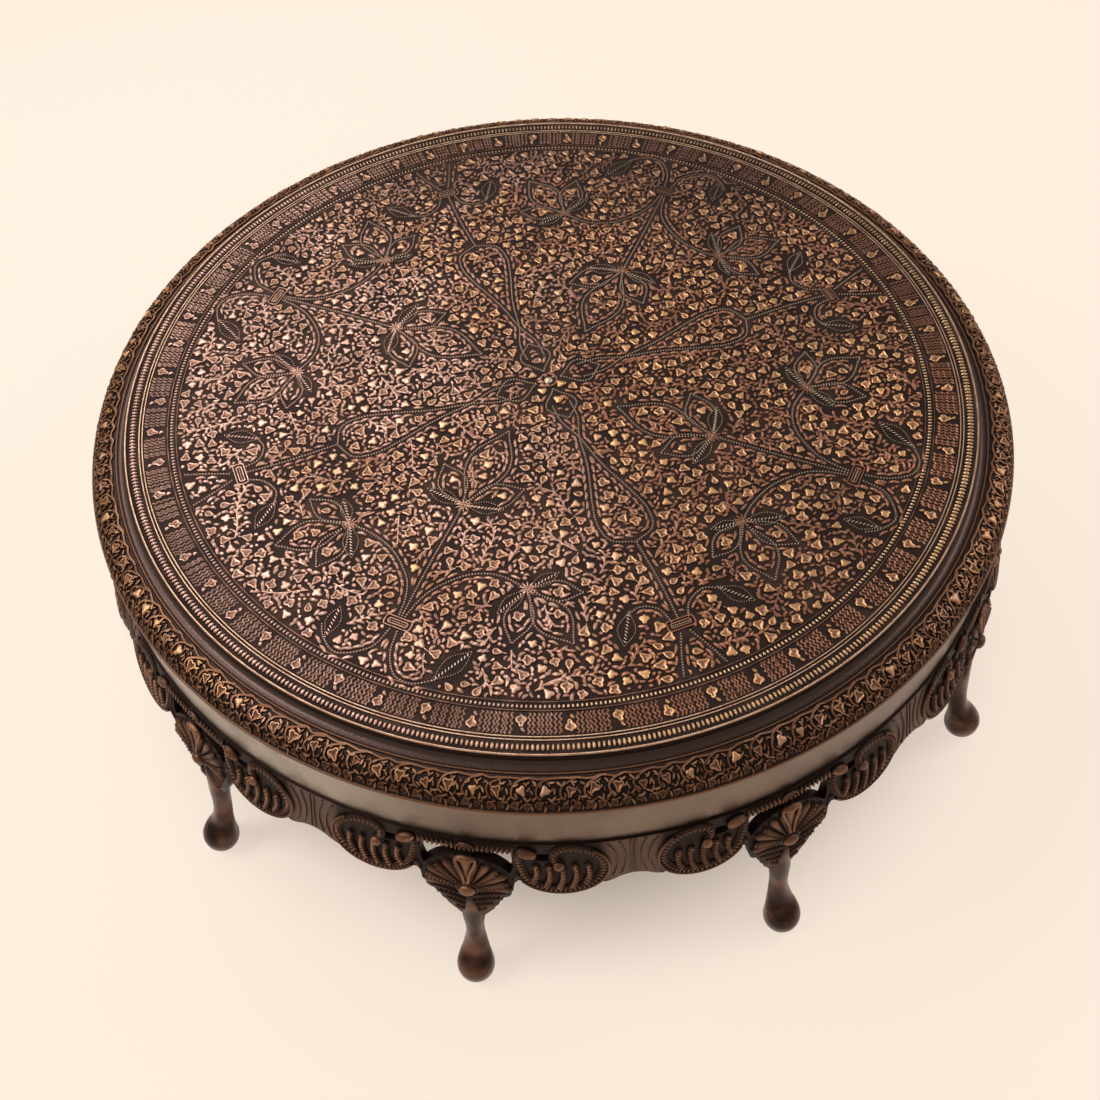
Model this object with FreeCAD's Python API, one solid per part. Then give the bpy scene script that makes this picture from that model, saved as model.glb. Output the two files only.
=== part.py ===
import FreeCAD, Part
import math
import os

# A round low table: sheet metal dressed over a wooden core, standing on ten cast legs.
# Lengths are in millimetres and angles in degrees. The origin is the centre of the floor
# under the table, +Z is up, and the first leg stands on +X. Curves that repeat round the
# table are drawn with a few straight steps, worked out along the true arc, to stay light.

# Driving sizes of the whole table
table_height = 160.0
moulding_radius = 229.0
board_thickness = 14.2
drum_depth = 29.0
leg_count = 10
sheet_gauge = 0.8

# Top sheet: a flat embossed field, a raised rope ring and a skirt turned down round the board
rope_ring_rise = 1.0
rope_ring_set_in = 4.25
rope_ring_half_width = 2.4
ring_flank = 0.7
rim_shoulder = 2.2

# Edge moulding: a concave cove, then a convex embossed band that ends in a lip
moulding_width = 18.5
cove_set_down = 4.5
cove_width = 4.5
cove_drop = 1.8
cove_hollow = 0.5
cove_steps = 2
band_bulge = 3.0
band_steps = 2
lip_height = 1.0

# Fascia band: a plain strip round the drum, its two ends butted and tacked at the back
fascia_inset = 1.0
seam_angle = 90.0
seam_gap = 0.3

# Wooden core: three glued planks on a deep ring of straight glued blocks
plank_width = 136.0
drum_ring_width = 41.2
block_count = 10

# Leg casting: the flaring apron wall
wall_thickness = 5.0
wall_overhang = 0.2
wall_spread = 7.0
joint_gap = 0.2

# Leg casting: lower edge of one half of the apron. Each place is a share of the bay's half
# width, out from the leg's middle, and a share of the leg's height, up from the floor.
neck_share = (0.917, 0.791)
scroll_shoulder_share = (0.848, 0.767)
scroll_bottom_share = (0.598, 0.722)
scroll_tip_share = (0.32, 0.787)
scroll_steps = 5
apron_root_share = (0.278, 0.704)
wall_facets = 5

# Leg casting: outline of one side of the shell's body, from the apron down to the ankle, as
# shares of the shell's radius and of the leg's height
body_outline_shares = (
    (0.89, 0.713),
    (0.79, 0.678),
    (0.79, 0.643),
    (0.64, 0.604),
    (0.63, 0.565),
    (0.48, 0.491),
    (0.29, 0.404),
    (0.2, 0.348),
)
body_overhang = 0.4
body_thickness = 5.0

# Leg casting: pierced openings
rail_depth = 5.5
petal_length = 6.5
petal_half_width = 2.2
shoulder_share = 0.745
shoulder_clearance = 0.8
shoulder_steps = 2
eye_share = (0.466, 0.927)
eye_half_length = 5.2
eye_half_height = 2.5
eye_steps = 3

# Leg casting: fluted shell round a boss, and the veins that sweep up from the spine
boss_height_share = 0.704
boss_base_radius = 5.4
boss_crown_radius = 3.2
boss_proud = 3.4
boss_sides = 8
shell_angle = 150.0
flute_count = 9
flute_proud = 2.8
ridge_sink = 3.0
vein_height_shares = (0.622, 0.543, 0.465)
vein_length_shares = (0.75, 0.614, 0.432)
vein_half_width = 2.6
vein_proud = 1.8
vein_slope = 36.0

# Leg casting: slim shaft and ball foot, both with flat sides
foot_sides = 10
foot_reach = 16.0
ball_radius = 9.3
ball_low_latitude = -66.0
ball_high_latitude = 48.0
ball_steps = 4
shaft_waist_radius = 4.25
shaft_waist_height_share = 0.26
shaft_head_radius = 5.8
shaft_head_height_share = 0.452
shaft_head_set_back = 1.0
spine_tip_radius = 1.6
spine_tip_height_share = 0.661

# Leg casting: lug under the drum, and the square rose-headed nails that hold it
lug_thickness = 3.5
lug_width = 76.0
lug_reach = 14.7
lug_root = 1.0
nail_set_in = 8.0
nail_edge = 5.85
nail_side = 3.0
nail_length = 20.0
nail_head_side = 7.0
nail_head_height = 1.8

# Tacks at the fascia's seam, one above the other at each of its two ends
tacks_each_end = 2
tack_set_back = 4.0
tack_side = 1.6
tack_length = 9.0
tack_head_side = 3.4
tack_head_height = 0.3

# Sizes that follow from the driving sizes
up = FreeCAD.Vector(0, 0, 1)
across = FreeCAD.Vector(0, 1, 0)
along = FreeCAD.Vector(1, 0, 0)
origin = FreeCAD.Vector(0, 0, 0)
field_height = table_height - rope_ring_rise
board_top = field_height - sheet_gauge
deck_height = board_top - board_thickness
drum_bottom = deck_height - drum_depth
rim_radius = moulding_radius - moulding_width
board_radius = rim_radius - sheet_gauge
rope_ring_radius = rim_radius - rope_ring_set_in
fascia_radius = moulding_radius - fascia_inset
drum_radius = fascia_radius - sheet_gauge
bay_angle = 360.0 / leg_count
half_bay = math.radians(bay_angle) * moulding_radius / 2
wall_top_radius = moulding_radius + wall_overhang
wall_inner_radius = wall_top_radius - wall_thickness
wall_flare = wall_spread / (drum_bottom * (1 - scroll_bottom_share[1]))
body_front = wall_top_radius + wall_spread + body_overhang
boss_height = boss_height_share * drum_bottom
shell_radius = drum_bottom - rail_depth - petal_length - boss_height
foot_radius = moulding_radius + foot_reach
lug_inner_face = wall_inner_radius - lug_reach
through = 2 * moulding_radius


def arc_points(start, middle, end, steps):
    """Points at equal steps along the circle through three points, both ends included."""
    circle = Part.Arc(
        FreeCAD.Vector(start[0], start[1], 0),
        FreeCAD.Vector(middle[0], middle[1], 0),
        FreeCAD.Vector(end[0], end[1], 0),
    )
    points = []
    for place in circle.discretize(steps + 1):
        points.append((place.x, place.y))
    return points


def turned(outline, sweep=360.0, start=0.0):
    """The solid made by turning an outline of radii and heights about the Z axis."""
    corners = [FreeCAD.Vector(radius, 0, height) for radius, height in outline]
    face = Part.Face(Part.makePolygon(corners + corners[:1]))
    if start:
        face.rotate(origin, up, start)
    return face.revolve(origin, up, sweep)


def plate(outline, back, front):
    """A plate between two places on X, with an outline of distances across and heights."""
    corners = [FreeCAD.Vector(back, distance, height) for distance, height in outline]
    face = Part.Face(Part.makePolygon(corners + corners[:1]))
    return face.extrude(FreeCAD.Vector(front - back, 0, 0))


def mirrored(outline):
    """The same outline on the other side of the leg's middle, in the opposite order."""
    return [(-distance, height) for distance, height in reversed(outline)]


def both_sides(outline):
    """A closed outline from one side's list and its mirror image."""
    return list(outline) + mirrored(outline)


def flat_faced(rings):
    """A solid with flat faces between rings of corners, where the first may be one point."""
    faces = []
    for low, high in zip(rings, rings[1:]):
        for index, corner in enumerate(high):
            if len(low) == 1:
                loop = [low[0], corner, high[index - 1], low[0]]
            else:
                loop = [low[index - 1], low[index], corner, high[index - 1], low[index - 1]]
            faces.append(Part.Face(Part.makePolygon(loop)))
    for ring in (rings[0], rings[-1]):
        if len(ring) > 1:
            faces.append(Part.Face(Part.makePolygon(ring + ring[:1])))
    shell = Part.makeShell(faces)
    shell.sewShape()
    solid = Part.makeSolid(shell)
    if solid.Volume < 0:
        solid.reverse()
    return solid


def flat_sided(stations, sides):
    """A round form with flat sides, from stations of radius, height and middle on X."""
    rings = []
    for radius, height, middle in stations:
        ring = []
        for index in range(sides):
            turn = 2 * math.pi * (index + 0.5) / sides
            ring.append(FreeCAD.Vector(
                middle + radius * math.cos(turn), radius * math.sin(turn), height
            ))
        rings.append(ring)
    return flat_faced(rings)


def square_ring(side, height):
    half = side / 2
    corners = ((-half, -half), (half, -half), (half, half), (-half, half))
    return [FreeCAD.Vector(x, y, height) for x, y in corners]


def square_nail(side, low, high, head_side, head_height):
    """A square nail that points up, with a rose head below the given low end."""
    return flat_faced([
        [FreeCAD.Vector(0, 0, low - head_height)],
        square_ring(head_side, low),
        square_ring(side, low),
        square_ring(side, high),
    ])


def ridge(length, half_width, proud):
    """A ridge along +Z that swells from a point to its full width, sunk into what it is on."""
    corners = [
        FreeCAD.Vector(-ridge_sink, -half_width, length),
        FreeCAD.Vector(0, -half_width, length),
        FreeCAD.Vector(proud, 0, length),
        FreeCAD.Vector(0, half_width, length),
        FreeCAD.Vector(-ridge_sink, half_width, length),
    ]
    return flat_faced([[origin], corners])


def write(name, shape):
    shape.exportStep("parts/" + name + ".step")


def top_sheet():
    ring_inner = rope_ring_radius - rope_ring_half_width
    ring_outer = rope_ring_radius + rope_ring_half_width
    return turned([
        (0, board_top),
        (board_radius, board_top),
        (board_radius, deck_height),
        (rim_radius, deck_height),
        (rim_radius, table_height - rim_shoulder),
        (ring_outer, table_height),
        (ring_inner, table_height),
        (ring_inner - ring_flank, field_height),
        (0, field_height),
    ])


def edge_moulding():
    cove_top = table_height - cove_set_down
    cove_start = (rim_radius, cove_top)
    cove_end = (rim_radius + cove_width, cove_top - cove_drop)
    cove_middle = (rim_radius + cove_width / 2, cove_top - cove_drop / 2 - cove_hollow)
    band_end = (moulding_radius, deck_height + lip_height)
    width = band_end[0] - cove_end[0]
    drop = cove_end[1] - band_end[1]
    slant = math.hypot(width, drop)
    band_middle = (
        (cove_end[0] + band_end[0]) / 2 + band_bulge * drop / slant,
        (cove_end[1] + band_end[1]) / 2 + band_bulge * width / slant,
    )
    outline = [(rim_radius, deck_height)]
    outline += arc_points(cove_start, cove_middle, cove_end, cove_steps)
    outline += arc_points(cove_end, band_middle, band_end, band_steps)[1:]
    outline += [(moulding_radius, deck_height)]
    return turned(outline)


def seam_tacks():
    """Square tacks through both ends of the fascia into the drum, their heads outwards."""
    tacks = []
    spacing = (deck_height - drum_bottom) / tacks_each_end
    turn = math.degrees(tack_set_back / fascia_radius)
    for side in (-1, 1):
        for index in range(tacks_each_end):
            tack = square_nail(tack_side, 0, tack_length, tack_head_side, tack_head_height)
            tack.rotate(origin, across, -90)
            tack.translate(FreeCAD.Vector(fascia_radius, 0, drum_bottom + spacing * (index + 0.5)))
            tack.rotate(origin, up, seam_angle + side * turn)
            tacks.append(tack)
    return tacks


def fascia_band():
    gap = math.degrees(seam_gap / fascia_radius)
    band = turned([
        (drum_radius, drum_bottom),
        (fascia_radius, drum_bottom),
        (fascia_radius, deck_height),
        (drum_radius, deck_height),
    ], 360.0 - gap, seam_angle + gap / 2)
    return band.cut(Part.makeCompound(seam_tacks()))


def core_planks():
    """The turned board, sawn across into three planks."""
    board = Part.makeCylinder(board_radius, board_thickness, FreeCAD.Vector(0, 0, deck_height))
    edges = (-moulding_radius, -plank_width / 2, plank_width / 2, moulding_radius)
    planks = {}
    for name, left, right in zip(("left", "middle", "right"), edges, edges[1:]):
        saw = Part.makeBox(
            right - left, through, board_thickness,
            FreeCAD.Vector(left, -through / 2, deck_height),
        )
        planks["core_plank_" + name] = board.common(saw)
    return planks


def leg_nails():
    """The two square nails of one leg, driven up through its lugs into the drum."""
    nails = []
    low = drum_bottom - lug_thickness
    radius = lug_inner_face + nail_set_in
    turn = math.degrees(math.asin((lug_width / 2 - nail_edge) / radius))
    for side in (-1, 1):
        nail = square_nail(nail_side, low, low + nail_length, nail_head_side, nail_head_height)
        nail.translate(FreeCAD.Vector(radius, 0, 0))
        nail.rotate(origin, up, side * turn)
        nails.append(nail)
    return nails


def drum_blocks():
    """The ring under the board: blocks turned outside and left straight inside."""
    block_angle = 360.0 / block_count
    drum_inner_flat = drum_radius - drum_ring_width
    half_chord = drum_inner_flat * math.tan(math.radians(block_angle / 2))
    disc = turned([
        (0, drum_bottom),
        (drum_radius, drum_bottom),
        (drum_radius, deck_height),
        (0, deck_height),
    ], block_angle, -block_angle / 2)
    hollow = Part.makeBox(
        drum_inner_flat, 2 * half_chord, deck_height - drum_bottom,
        FreeCAD.Vector(0, -half_chord, drum_bottom),
    )
    plain = disc.cut(hollow)
    pegs = []
    for side in (-1, 1):
        for nail in leg_nails():
            nail.rotate(origin, up, side * bay_angle / 2)
            pegs.append(nail)
    bored = plain.cut(Part.makeCompound(pegs))
    blocks = []
    for index in range(block_count):
        block = bored.copy()
        block.rotate(origin, up, block_angle * (index + 0.5))
        blocks.append(block.cut(Part.makeCompound(seam_tacks())))
    return blocks


def on_bay(share):
    """A distance out from the leg's middle and a height, from their two shares."""
    return share[0] * half_bay, share[1] * drum_bottom


def apron():
    """The wall of one bay, flaring downwards, cut to its scalloped edge and pierced."""
    neck = on_bay(neck_share)
    root = on_bay(apron_root_share)
    low = root[1]
    spread = wall_top_radius + wall_flare * (drum_bottom - low)
    gap = math.degrees(joint_gap / wall_top_radius)
    sections = []
    for index in range(wall_facets + 1):
        section = []
        for radius, height in (
            (wall_inner_radius, drum_bottom),
            (wall_top_radius, drum_bottom),
            (spread, low),
            (spread - wall_thickness, low),
        ):
            turn = math.radians((bay_angle - gap) * (index / wall_facets - 0.5))
            section.append(
                FreeCAD.Vector(radius * math.cos(turn), radius * math.sin(turn), height)
            )
        sections.append(section)
    wall = flat_faced(sections)
    reach = half_bay + joint_gap
    side = [(reach, drum_bottom), (reach, neck[1]), neck]
    side += arc_points(
        on_bay(scroll_shoulder_share), on_bay(scroll_bottom_share), on_bay(scroll_tip_share),
        scroll_steps,
    )
    side.append(root)
    wall = wall.common(plate(both_sides(side), 0, through))
    for opening in (shoulder_opening(), scroll_eye()):
        wall = wall.cut(plate(opening, 0, through))
        wall = wall.cut(plate(mirrored(opening), 0, through))
    return wall


def shoulder_opening():
    """The gap between the rail and the shell's rim, beside the upright petal."""
    top = drum_bottom - rail_depth
    reach = shell_radius + shoulder_clearance
    first = math.asin(petal_half_width / reach)
    last = math.asin(shoulder_share)
    outline = [(shoulder_share * reach, top), (petal_half_width, top)]
    for index in range(shoulder_steps + 1):
        turn = first + (last - first) * index / shoulder_steps
        outline.append((reach * math.sin(turn), boss_height + reach * math.cos(turn)))
    return outline


def scroll_eye():
    """The lens-shaped opening between the two curls of a scroll."""
    middle, height = on_bay(eye_share)
    left = (middle - eye_half_length, height)
    right = (middle + eye_half_length, height)
    above = arc_points(left, (middle, height + eye_half_height), right, eye_steps)
    below = arc_points(right, (middle, height - eye_half_height), left, eye_steps)
    return above[:-1] + below[:-1]


def shell():
    """A fan of flutes that spring from the boss, leaning back with the wall behind it."""
    turn = shell_angle / flute_count
    half_width = shell_radius * math.tan(math.radians(turn / 2))
    flutes = []
    for index in range(flute_count):
        flute = ridge(shell_radius, half_width, flute_proud)
        flute.rotate(origin, along, turn * (index - (flute_count - 1) / 2))
        flutes.append(flute)
    boss = flat_sided([
        (boss_base_radius, -ridge_sink, 0),
        (boss_crown_radius, boss_proud, 0),
    ], boss_sides)
    boss.rotate(origin, across, 90)
    fan = flutes[0].multiFuse(flutes[1:] + [boss])
    fan.rotate(origin, across, -math.degrees(math.atan(wall_flare)))
    fan.translate(FreeCAD.Vector(body_front, 0, boss_height))
    return fan


def veins():
    ridges = []
    for height_share, length_share in zip(vein_height_shares, vein_length_shares):
        for side in (-1, 1):
            vein = ridge(length_share * shell_radius, vein_half_width, vein_proud)
            vein.rotate(origin, along, side * (90 - vein_slope))
            vein.translate(FreeCAD.Vector(body_front, 0, height_share * drum_bottom))
            ridges.append(vein)
    return ridges


def shaft_and_ball():
    """An upright ball, flat below, drawn up into a leaning shaft and the shell's spine."""
    centre_height = -ball_radius * math.sin(math.radians(ball_low_latitude))
    stations = []
    for index in range(ball_steps + 1):
        share = index / ball_steps
        latitude = ball_low_latitude + (ball_high_latitude - ball_low_latitude) * share
        ring = ball_radius * math.cos(math.radians(latitude))
        height = centre_height + ball_radius * math.sin(math.radians(latitude))
        stations.append((ring, height, foot_radius))
    waist_height = shaft_waist_height_share * drum_bottom
    head_height = shaft_head_height_share * drum_bottom
    head_middle = body_front - shaft_head_set_back
    share = (waist_height - centre_height) / (head_height - centre_height)
    waist_middle = foot_radius + (head_middle - foot_radius) * share
    stations.append((shaft_waist_radius, waist_height, waist_middle))
    stations.append((shaft_head_radius, head_height, head_middle))
    stations.append((spine_tip_radius, spine_tip_height_share * drum_bottom, body_front))
    return flat_sided(stations, foot_sides)


def lug():
    """A straight-edged shelf behind the apron, under the drum."""
    return Part.makeBox(
        lug_reach + lug_root, lug_width, lug_thickness,
        FreeCAD.Vector(lug_inner_face, -lug_width / 2, drum_bottom - lug_thickness),
    )


def leg_casting():
    """One leg with half an apron bay on each side, as it comes from the mould."""
    side = []
    for distance_share, height_share in body_outline_shares:
        side.append((distance_share * shell_radius, height_share * drum_bottom))
    body = plate(both_sides(side), body_front - body_thickness, body_front)
    pieces = [body, shell(), shaft_and_ball(), lug()] + veins()
    casting = apron().multiFuse(pieces).removeSplitter()
    return casting.cut(Part.makeCompound(leg_nails())).Solids[0]


def round_the_table(shape, count):
    """Copies of a shape, turned about the Z axis at equal angles."""
    copies = []
    for index in range(count):
        copy = shape.copy()
        copy.rotate(origin, up, 360.0 * index / count)
        copies.append(copy)
    return copies


def main():
    os.makedirs("parts", exist_ok=True)
    write("top_sheet", top_sheet())
    write("edge_moulding", edge_moulding())
    write("fascia_band", fascia_band())
    write("seam_tacks", Part.makeCompound(seam_tacks()))
    for name, plank in core_planks().items():
        write(name, plank)
    for index, block in enumerate(drum_blocks()):
        write("drum_block_%02d" % (index + 1), block)
    for index, casting in enumerate(round_the_table(leg_casting(), leg_count)):
        write("leg_casting_%02d" % (index + 1), casting)
    nails = Part.makeCompound(leg_nails())
    write("leg_nails", Part.makeCompound(round_the_table(nails, leg_count)))


main()
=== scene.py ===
import bpy
import bmesh
import math
import random
from mathutils import Matrix, Vector, kdtree


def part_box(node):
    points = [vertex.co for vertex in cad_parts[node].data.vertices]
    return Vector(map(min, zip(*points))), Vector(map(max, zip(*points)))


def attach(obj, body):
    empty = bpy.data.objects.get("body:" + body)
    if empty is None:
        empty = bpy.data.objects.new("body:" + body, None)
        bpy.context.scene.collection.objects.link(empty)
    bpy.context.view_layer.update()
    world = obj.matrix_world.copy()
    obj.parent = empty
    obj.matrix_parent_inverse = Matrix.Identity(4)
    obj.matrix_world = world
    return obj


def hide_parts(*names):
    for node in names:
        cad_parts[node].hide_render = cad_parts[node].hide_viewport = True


# A round low table in antiqued metal. Everything is modelled in millimetres and shrunk to
# metres when a piece is finished. Heights and radii come from the frame.

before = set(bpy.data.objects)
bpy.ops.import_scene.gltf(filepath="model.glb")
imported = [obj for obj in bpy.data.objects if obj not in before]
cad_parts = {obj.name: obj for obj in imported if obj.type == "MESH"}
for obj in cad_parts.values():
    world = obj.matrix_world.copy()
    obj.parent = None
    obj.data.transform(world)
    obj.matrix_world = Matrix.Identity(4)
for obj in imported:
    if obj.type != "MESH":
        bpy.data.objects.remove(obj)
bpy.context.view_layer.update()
scene = bpy.context.scene
mm = 0.001

sheetLow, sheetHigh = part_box("top_sheet")
rimRadius = sheetHigh.x / mm
topHeight = sheetHigh.z / mm
deckHeight = sheetLow.z / mm
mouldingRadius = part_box("edge_moulding")[1].x / mm
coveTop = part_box("edge_moulding")[1].z / mm
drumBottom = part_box("fascia_band")[0].z / mm
fieldHeight = topHeight - 1.0
ropeRadius = rimRadius - 4.25
legCount = 10
turnSteps = 288
sharpAngle = 50.0


# Shader maths as plain expressions

def toLinear(red, green, blue):
    shades = []
    for value in (red, green, blue):
        value = value / 255
        shades.append(value / 12.92 if value <= 0.04045 else ((value + 0.055) / 1.055) ** 2.4)
    return (shades[0], shades[1], shades[2], 1.0)


class Wire:
    def __init__(self, sheet, socket):
        self.sheet = sheet
        self.socket = socket

    def math(self, operation, first, second=None):
        values = {0: first}
        if second is not None:
            values[1] = second
        return self.sheet.node("ShaderNodeMath", {"operation": operation}, values)

    def __add__(self, other):
        return self.math("ADD", self, other)

    def __sub__(self, other):
        return self.math("SUBTRACT", self, other)

    def __rsub__(self, other):
        return self.math("SUBTRACT", other, self)

    def __mul__(self, other):
        return self.math("MULTIPLY", self, other)

    def __truediv__(self, other):
        return self.math("DIVIDE", self, other)

    __radd__ = __add__
    __rmul__ = __mul__


class Sheet:
    def __init__(self, name):
        self.material = bpy.data.materials.new(name)
        self.material.use_nodes = True
        self.tree = self.material.node_tree
        self.shader = self.tree.nodes["Principled BSDF"]

    def node(self, kind, settings, values, output=0):
        made = self.tree.nodes.new(kind)
        for key, value in settings.items():
            setattr(made, key, value)
        for key, value in values.items():
            self.join(value, made.inputs[key])
        return Wire(self, made.outputs[output])

    def join(self, value, socket):
        if isinstance(value, Wire):
            self.tree.links.new(value.socket, socket)
        else:
            socket.default_value = value

    def places(self):
        return self.node("ShaderNodeTexCoord", {}, {}, "Object")

    def split(self, vector):
        first = self.node("ShaderNodeSeparateXYZ", {}, {"Vector": vector})
        outs = first.socket.node.outputs
        return [Wire(self, outs[axis]) for axis in "XYZ"]

    def radius(self, vector):
        x, y, z = self.split(vector)
        flat = self.node("ShaderNodeCombineXYZ", {}, {"X": x, "Y": y})
        return self.node("ShaderNodeVectorMath", {"operation": "LENGTH"}, {0: flat}, "Value")

    def noise(self, vector, scale, detail=3.0, rough=0.5):
        values = {"Vector": vector, "Scale": scale, "Detail": detail, "Roughness": rough}
        return self.node("ShaderNodeTexNoise", {}, values, "Fac")

    def step(self, value, low, high, start=0.0, end=1.0):
        values = {"Value": value, "From Min": low, "From Max": high, "To Min": start, "To Max": end}
        return self.node("ShaderNodeMapRange", {"interpolation_type": "SMOOTHSTEP"}, values)

    def blend(self, share, first, second):
        settings = {"data_type": "RGBA", "clamp_factor": True}
        return self.node("ShaderNodeMix", settings, {0: share, 6: first, 7: second}, 2)

    def bump(self, height, depth, strength=1.0):
        values = {"Height": height, "Distance": depth, "Strength": strength}
        return self.node("ShaderNodeBump", {}, values, "Normal")

    def finish(self, **values):
        sockets = {"colour": "Base Color", "rough": "Roughness", "metal": "Metallic", "normal": "Normal"}
        for key, value in values.items():
            self.join(value, self.shader.inputs[sockets[key]])
        return self.material


# Mesh helpers

def place(x, y, z, turn=0.0, wide=1.0, deep=None, tall=None):
    deep = wide if deep is None else deep
    tall = wide if tall is None else tall
    scale = Matrix.Diagonal((wide, deep, tall, 1.0))
    return Matrix.Translation((x, y, z)) @ Matrix.Rotation(turn, 4, "Z") @ scale


def around(radius, turn):
    return radius * math.cos(turn), radius * math.sin(turn)


def turns(count):
    return [2 * math.pi * index / count for index in range(count)]


def template(bm):
    mesh = bpy.data.meshes.new("template")
    bm.to_mesh(mesh)
    bm.free()
    return mesh


def stamp(bm, mesh, matrix):
    mesh.transform(matrix)
    bm.from_mesh(mesh)
    mesh.transform(matrix.inverted())


def piece(name, bm, material, stands=()):
    bmesh.ops.transform(bm, matrix=Matrix.Scale(mm, 4), verts=bm.verts)
    mesh = bpy.data.meshes.new(name)
    bm.to_mesh(mesh)
    bm.free()
    mesh.materials.append(material)
    mesh.shade_smooth()
    mesh.set_sharp_from_angle(angle=math.radians(sharpAngle))
    made = bpy.data.objects.new(name, mesh)
    scene.collection.objects.link(made)
    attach(made, "root")
    if stands:
        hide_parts(*stands)
    print("made", name, len(mesh.polygons), "faces")


def turned(outline):
    # a closed outline of radii and heights, spun once round the table's axis
    bm = bmesh.new()
    verts = [bm.verts.new((radius, 0, height)) for radius, height in outline]
    edges = [bm.edges.new(pair) for pair in zip(verts, verts[1:] + verts[:1])]
    bmesh.ops.spin(
        bm, geom=verts + edges, cent=(0, 0, 0), axis=(0, 0, 1), angle=2 * math.pi,
        steps=turnSteps, use_merge=True,
    )
    bmesh.ops.remove_doubles(bm, verts=bm.verts, dist=0.001)
    bmesh.ops.dissolve_degenerate(bm, edges=bm.edges, dist=0.0001)
    bmesh.ops.recalc_face_normals(bm, faces=bm.faces)
    return bm


def smoothPath(points, steps=10):
    # a smooth curve through every point
    points = [Vector(point) for point in points]
    last = len(points) - 1
    path = []
    for index in range(last):
        b, c = points[index], points[index + 1]
        a = points[index - 1] if index else b * 2 - c
        d = points[index + 2] if index + 1 < last else c * 2 - b
        for step in range(steps):
            t = step / steps
            path.append(
                ((b * 2) + (c - a) * t + (a * 2 - b * 5 + c * 4 - d) * t * t
                 + (b * 3 - a - c * 3 + d) * t * t * t) * 0.5
            )
    path.append(points[-1].copy())
    return path


def walk(path, pitch):
    # even places along a path, each with the direction of travel
    total = sum((b - a).length for a, b in zip(path, path[1:]))
    count = max(1, round(total / pitch))
    spacing = total / count
    places = []
    travelled = 0.0
    wanted = spacing / 2
    for a, b in zip(path, path[1:]):
        length = (b - a).length
        while length > 0 and travelled + length >= wanted and len(places) < count:
            share = (wanted - travelled) / length
            places.append((a + (b - a) * share, math.atan2(b.y - a.y, b.x - a.x)))
            wanted += spacing
        travelled += length
    return places


def addCurve(bm, curve, matrix):
    holder = bpy.data.objects.new(curve.name, curve)
    scene.collection.objects.link(holder)
    mesh = bpy.data.meshes.new_from_object(
        holder.evaluated_get(bpy.context.evaluated_depsgraph_get())
    )
    mesh.transform(matrix)
    bm.from_mesh(mesh)
    bpy.data.objects.remove(holder)
    bpy.data.curves.remove(curve)
    bpy.data.meshes.remove(mesh)


def cords(bm, paths, radius, height, flat=1.0, sides=1):
    # half-sunk ridges along flat paths, made with the curve's own bevel
    curve = bpy.data.curves.new("cords", "CURVE")
    curve.dimensions = "3D"
    curve.bevel_depth = radius
    curve.bevel_resolution = sides
    curve.use_fill_caps = True
    for path in paths:
        spline = curve.splines.new("POLY")
        spline.points.add(len(path) - 1)
        for point, where in zip(spline.points, path):
            point.co = (where.x, where.y, 0, 1)
    addCurve(bm, curve, Matrix.Translation((0, 0, height)) @ Matrix.Diagonal((1, 1, flat, 1)))


# Small shapes that repeat

def button(sides, base, crown, height):
    # a low rounded boss, sunk a little into what carries it
    bm = bmesh.new()
    bmesh.ops.create_cone(
        bm, cap_ends=True, segments=sides, radius1=base, radius2=crown, depth=height * 0.65,
    )
    bmesh.ops.translate(bm, verts=bm.verts, vec=(0, 0, height * 0.325 - 0.15))
    bm.normal_update()
    top = [face for face in bm.faces if face.normal.z > 0.9]
    bmesh.ops.inset_individual(bm, faces=top, thickness=crown * 0.4, depth=height * 0.35)
    return template(bm)


dished = ((0.08, 0.6), (0.36, 0.4), (0.26, 0.0), (0.42, -0.4))
domed = ((0.08, 0.58), (0.42, 0.36), (0.6, 0.08))


def blossom(lobes, height, size=1.0, insets=dished, steps=14):
    # one boss under the joined outline of round lobes: distance out, degrees, radius
    bm = bmesh.new()
    bmesh.ops.create_circle(bm, cap_ends=True, segments=steps, radius=1)
    for vert in bm.verts:
        angle = math.atan2(vert.co.y, vert.co.x)
        reach = 0.0
        for away, degrees, radius in lobes:
            off = angle - math.radians(degrees)
            inside = radius ** 2 - (away * math.sin(off)) ** 2
            if inside > 0:
                reach = max(reach, away * math.cos(off) + math.sqrt(inside))
        vert.co = (vert.co.x * reach * size, vert.co.y * reach * size, -0.15)
    bm.normal_update()
    if bm.faces[:][0].normal.z < 0:
        bmesh.ops.reverse_faces(bm, faces=bm.faces[:])
    rim = bm.edges[:]
    top = bm.faces[:]
    for thickness, rise in insets:
        bmesh.ops.inset_individual(bm, faces=top, thickness=thickness * size, depth=rise * height)
    bmesh.ops.holes_fill(bm, edges=rim, sides=0)
    bmesh.ops.recalc_face_normals(bm, faces=bm.faces)
    return template(bm)


heartLobes = [(1.25, 38, 1.46), (1.25, 142, 1.46), (1.3, 270, 1.35), (0.0, 0, 1.7), (2.4, 270, 0.7)]
clubLobes = [(1.5, 90, 1.3), (1.35, 205, 1.45), (1.35, 335, 1.45), (0.0, 0, 1.65), (2.1, 270, 0.8)]
budLobes = [(0.5, 90, 1.95), (0.0, 0, 1.8), (1.7, 270, 1.0), (2.6, 270, 0.5)]


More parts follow.
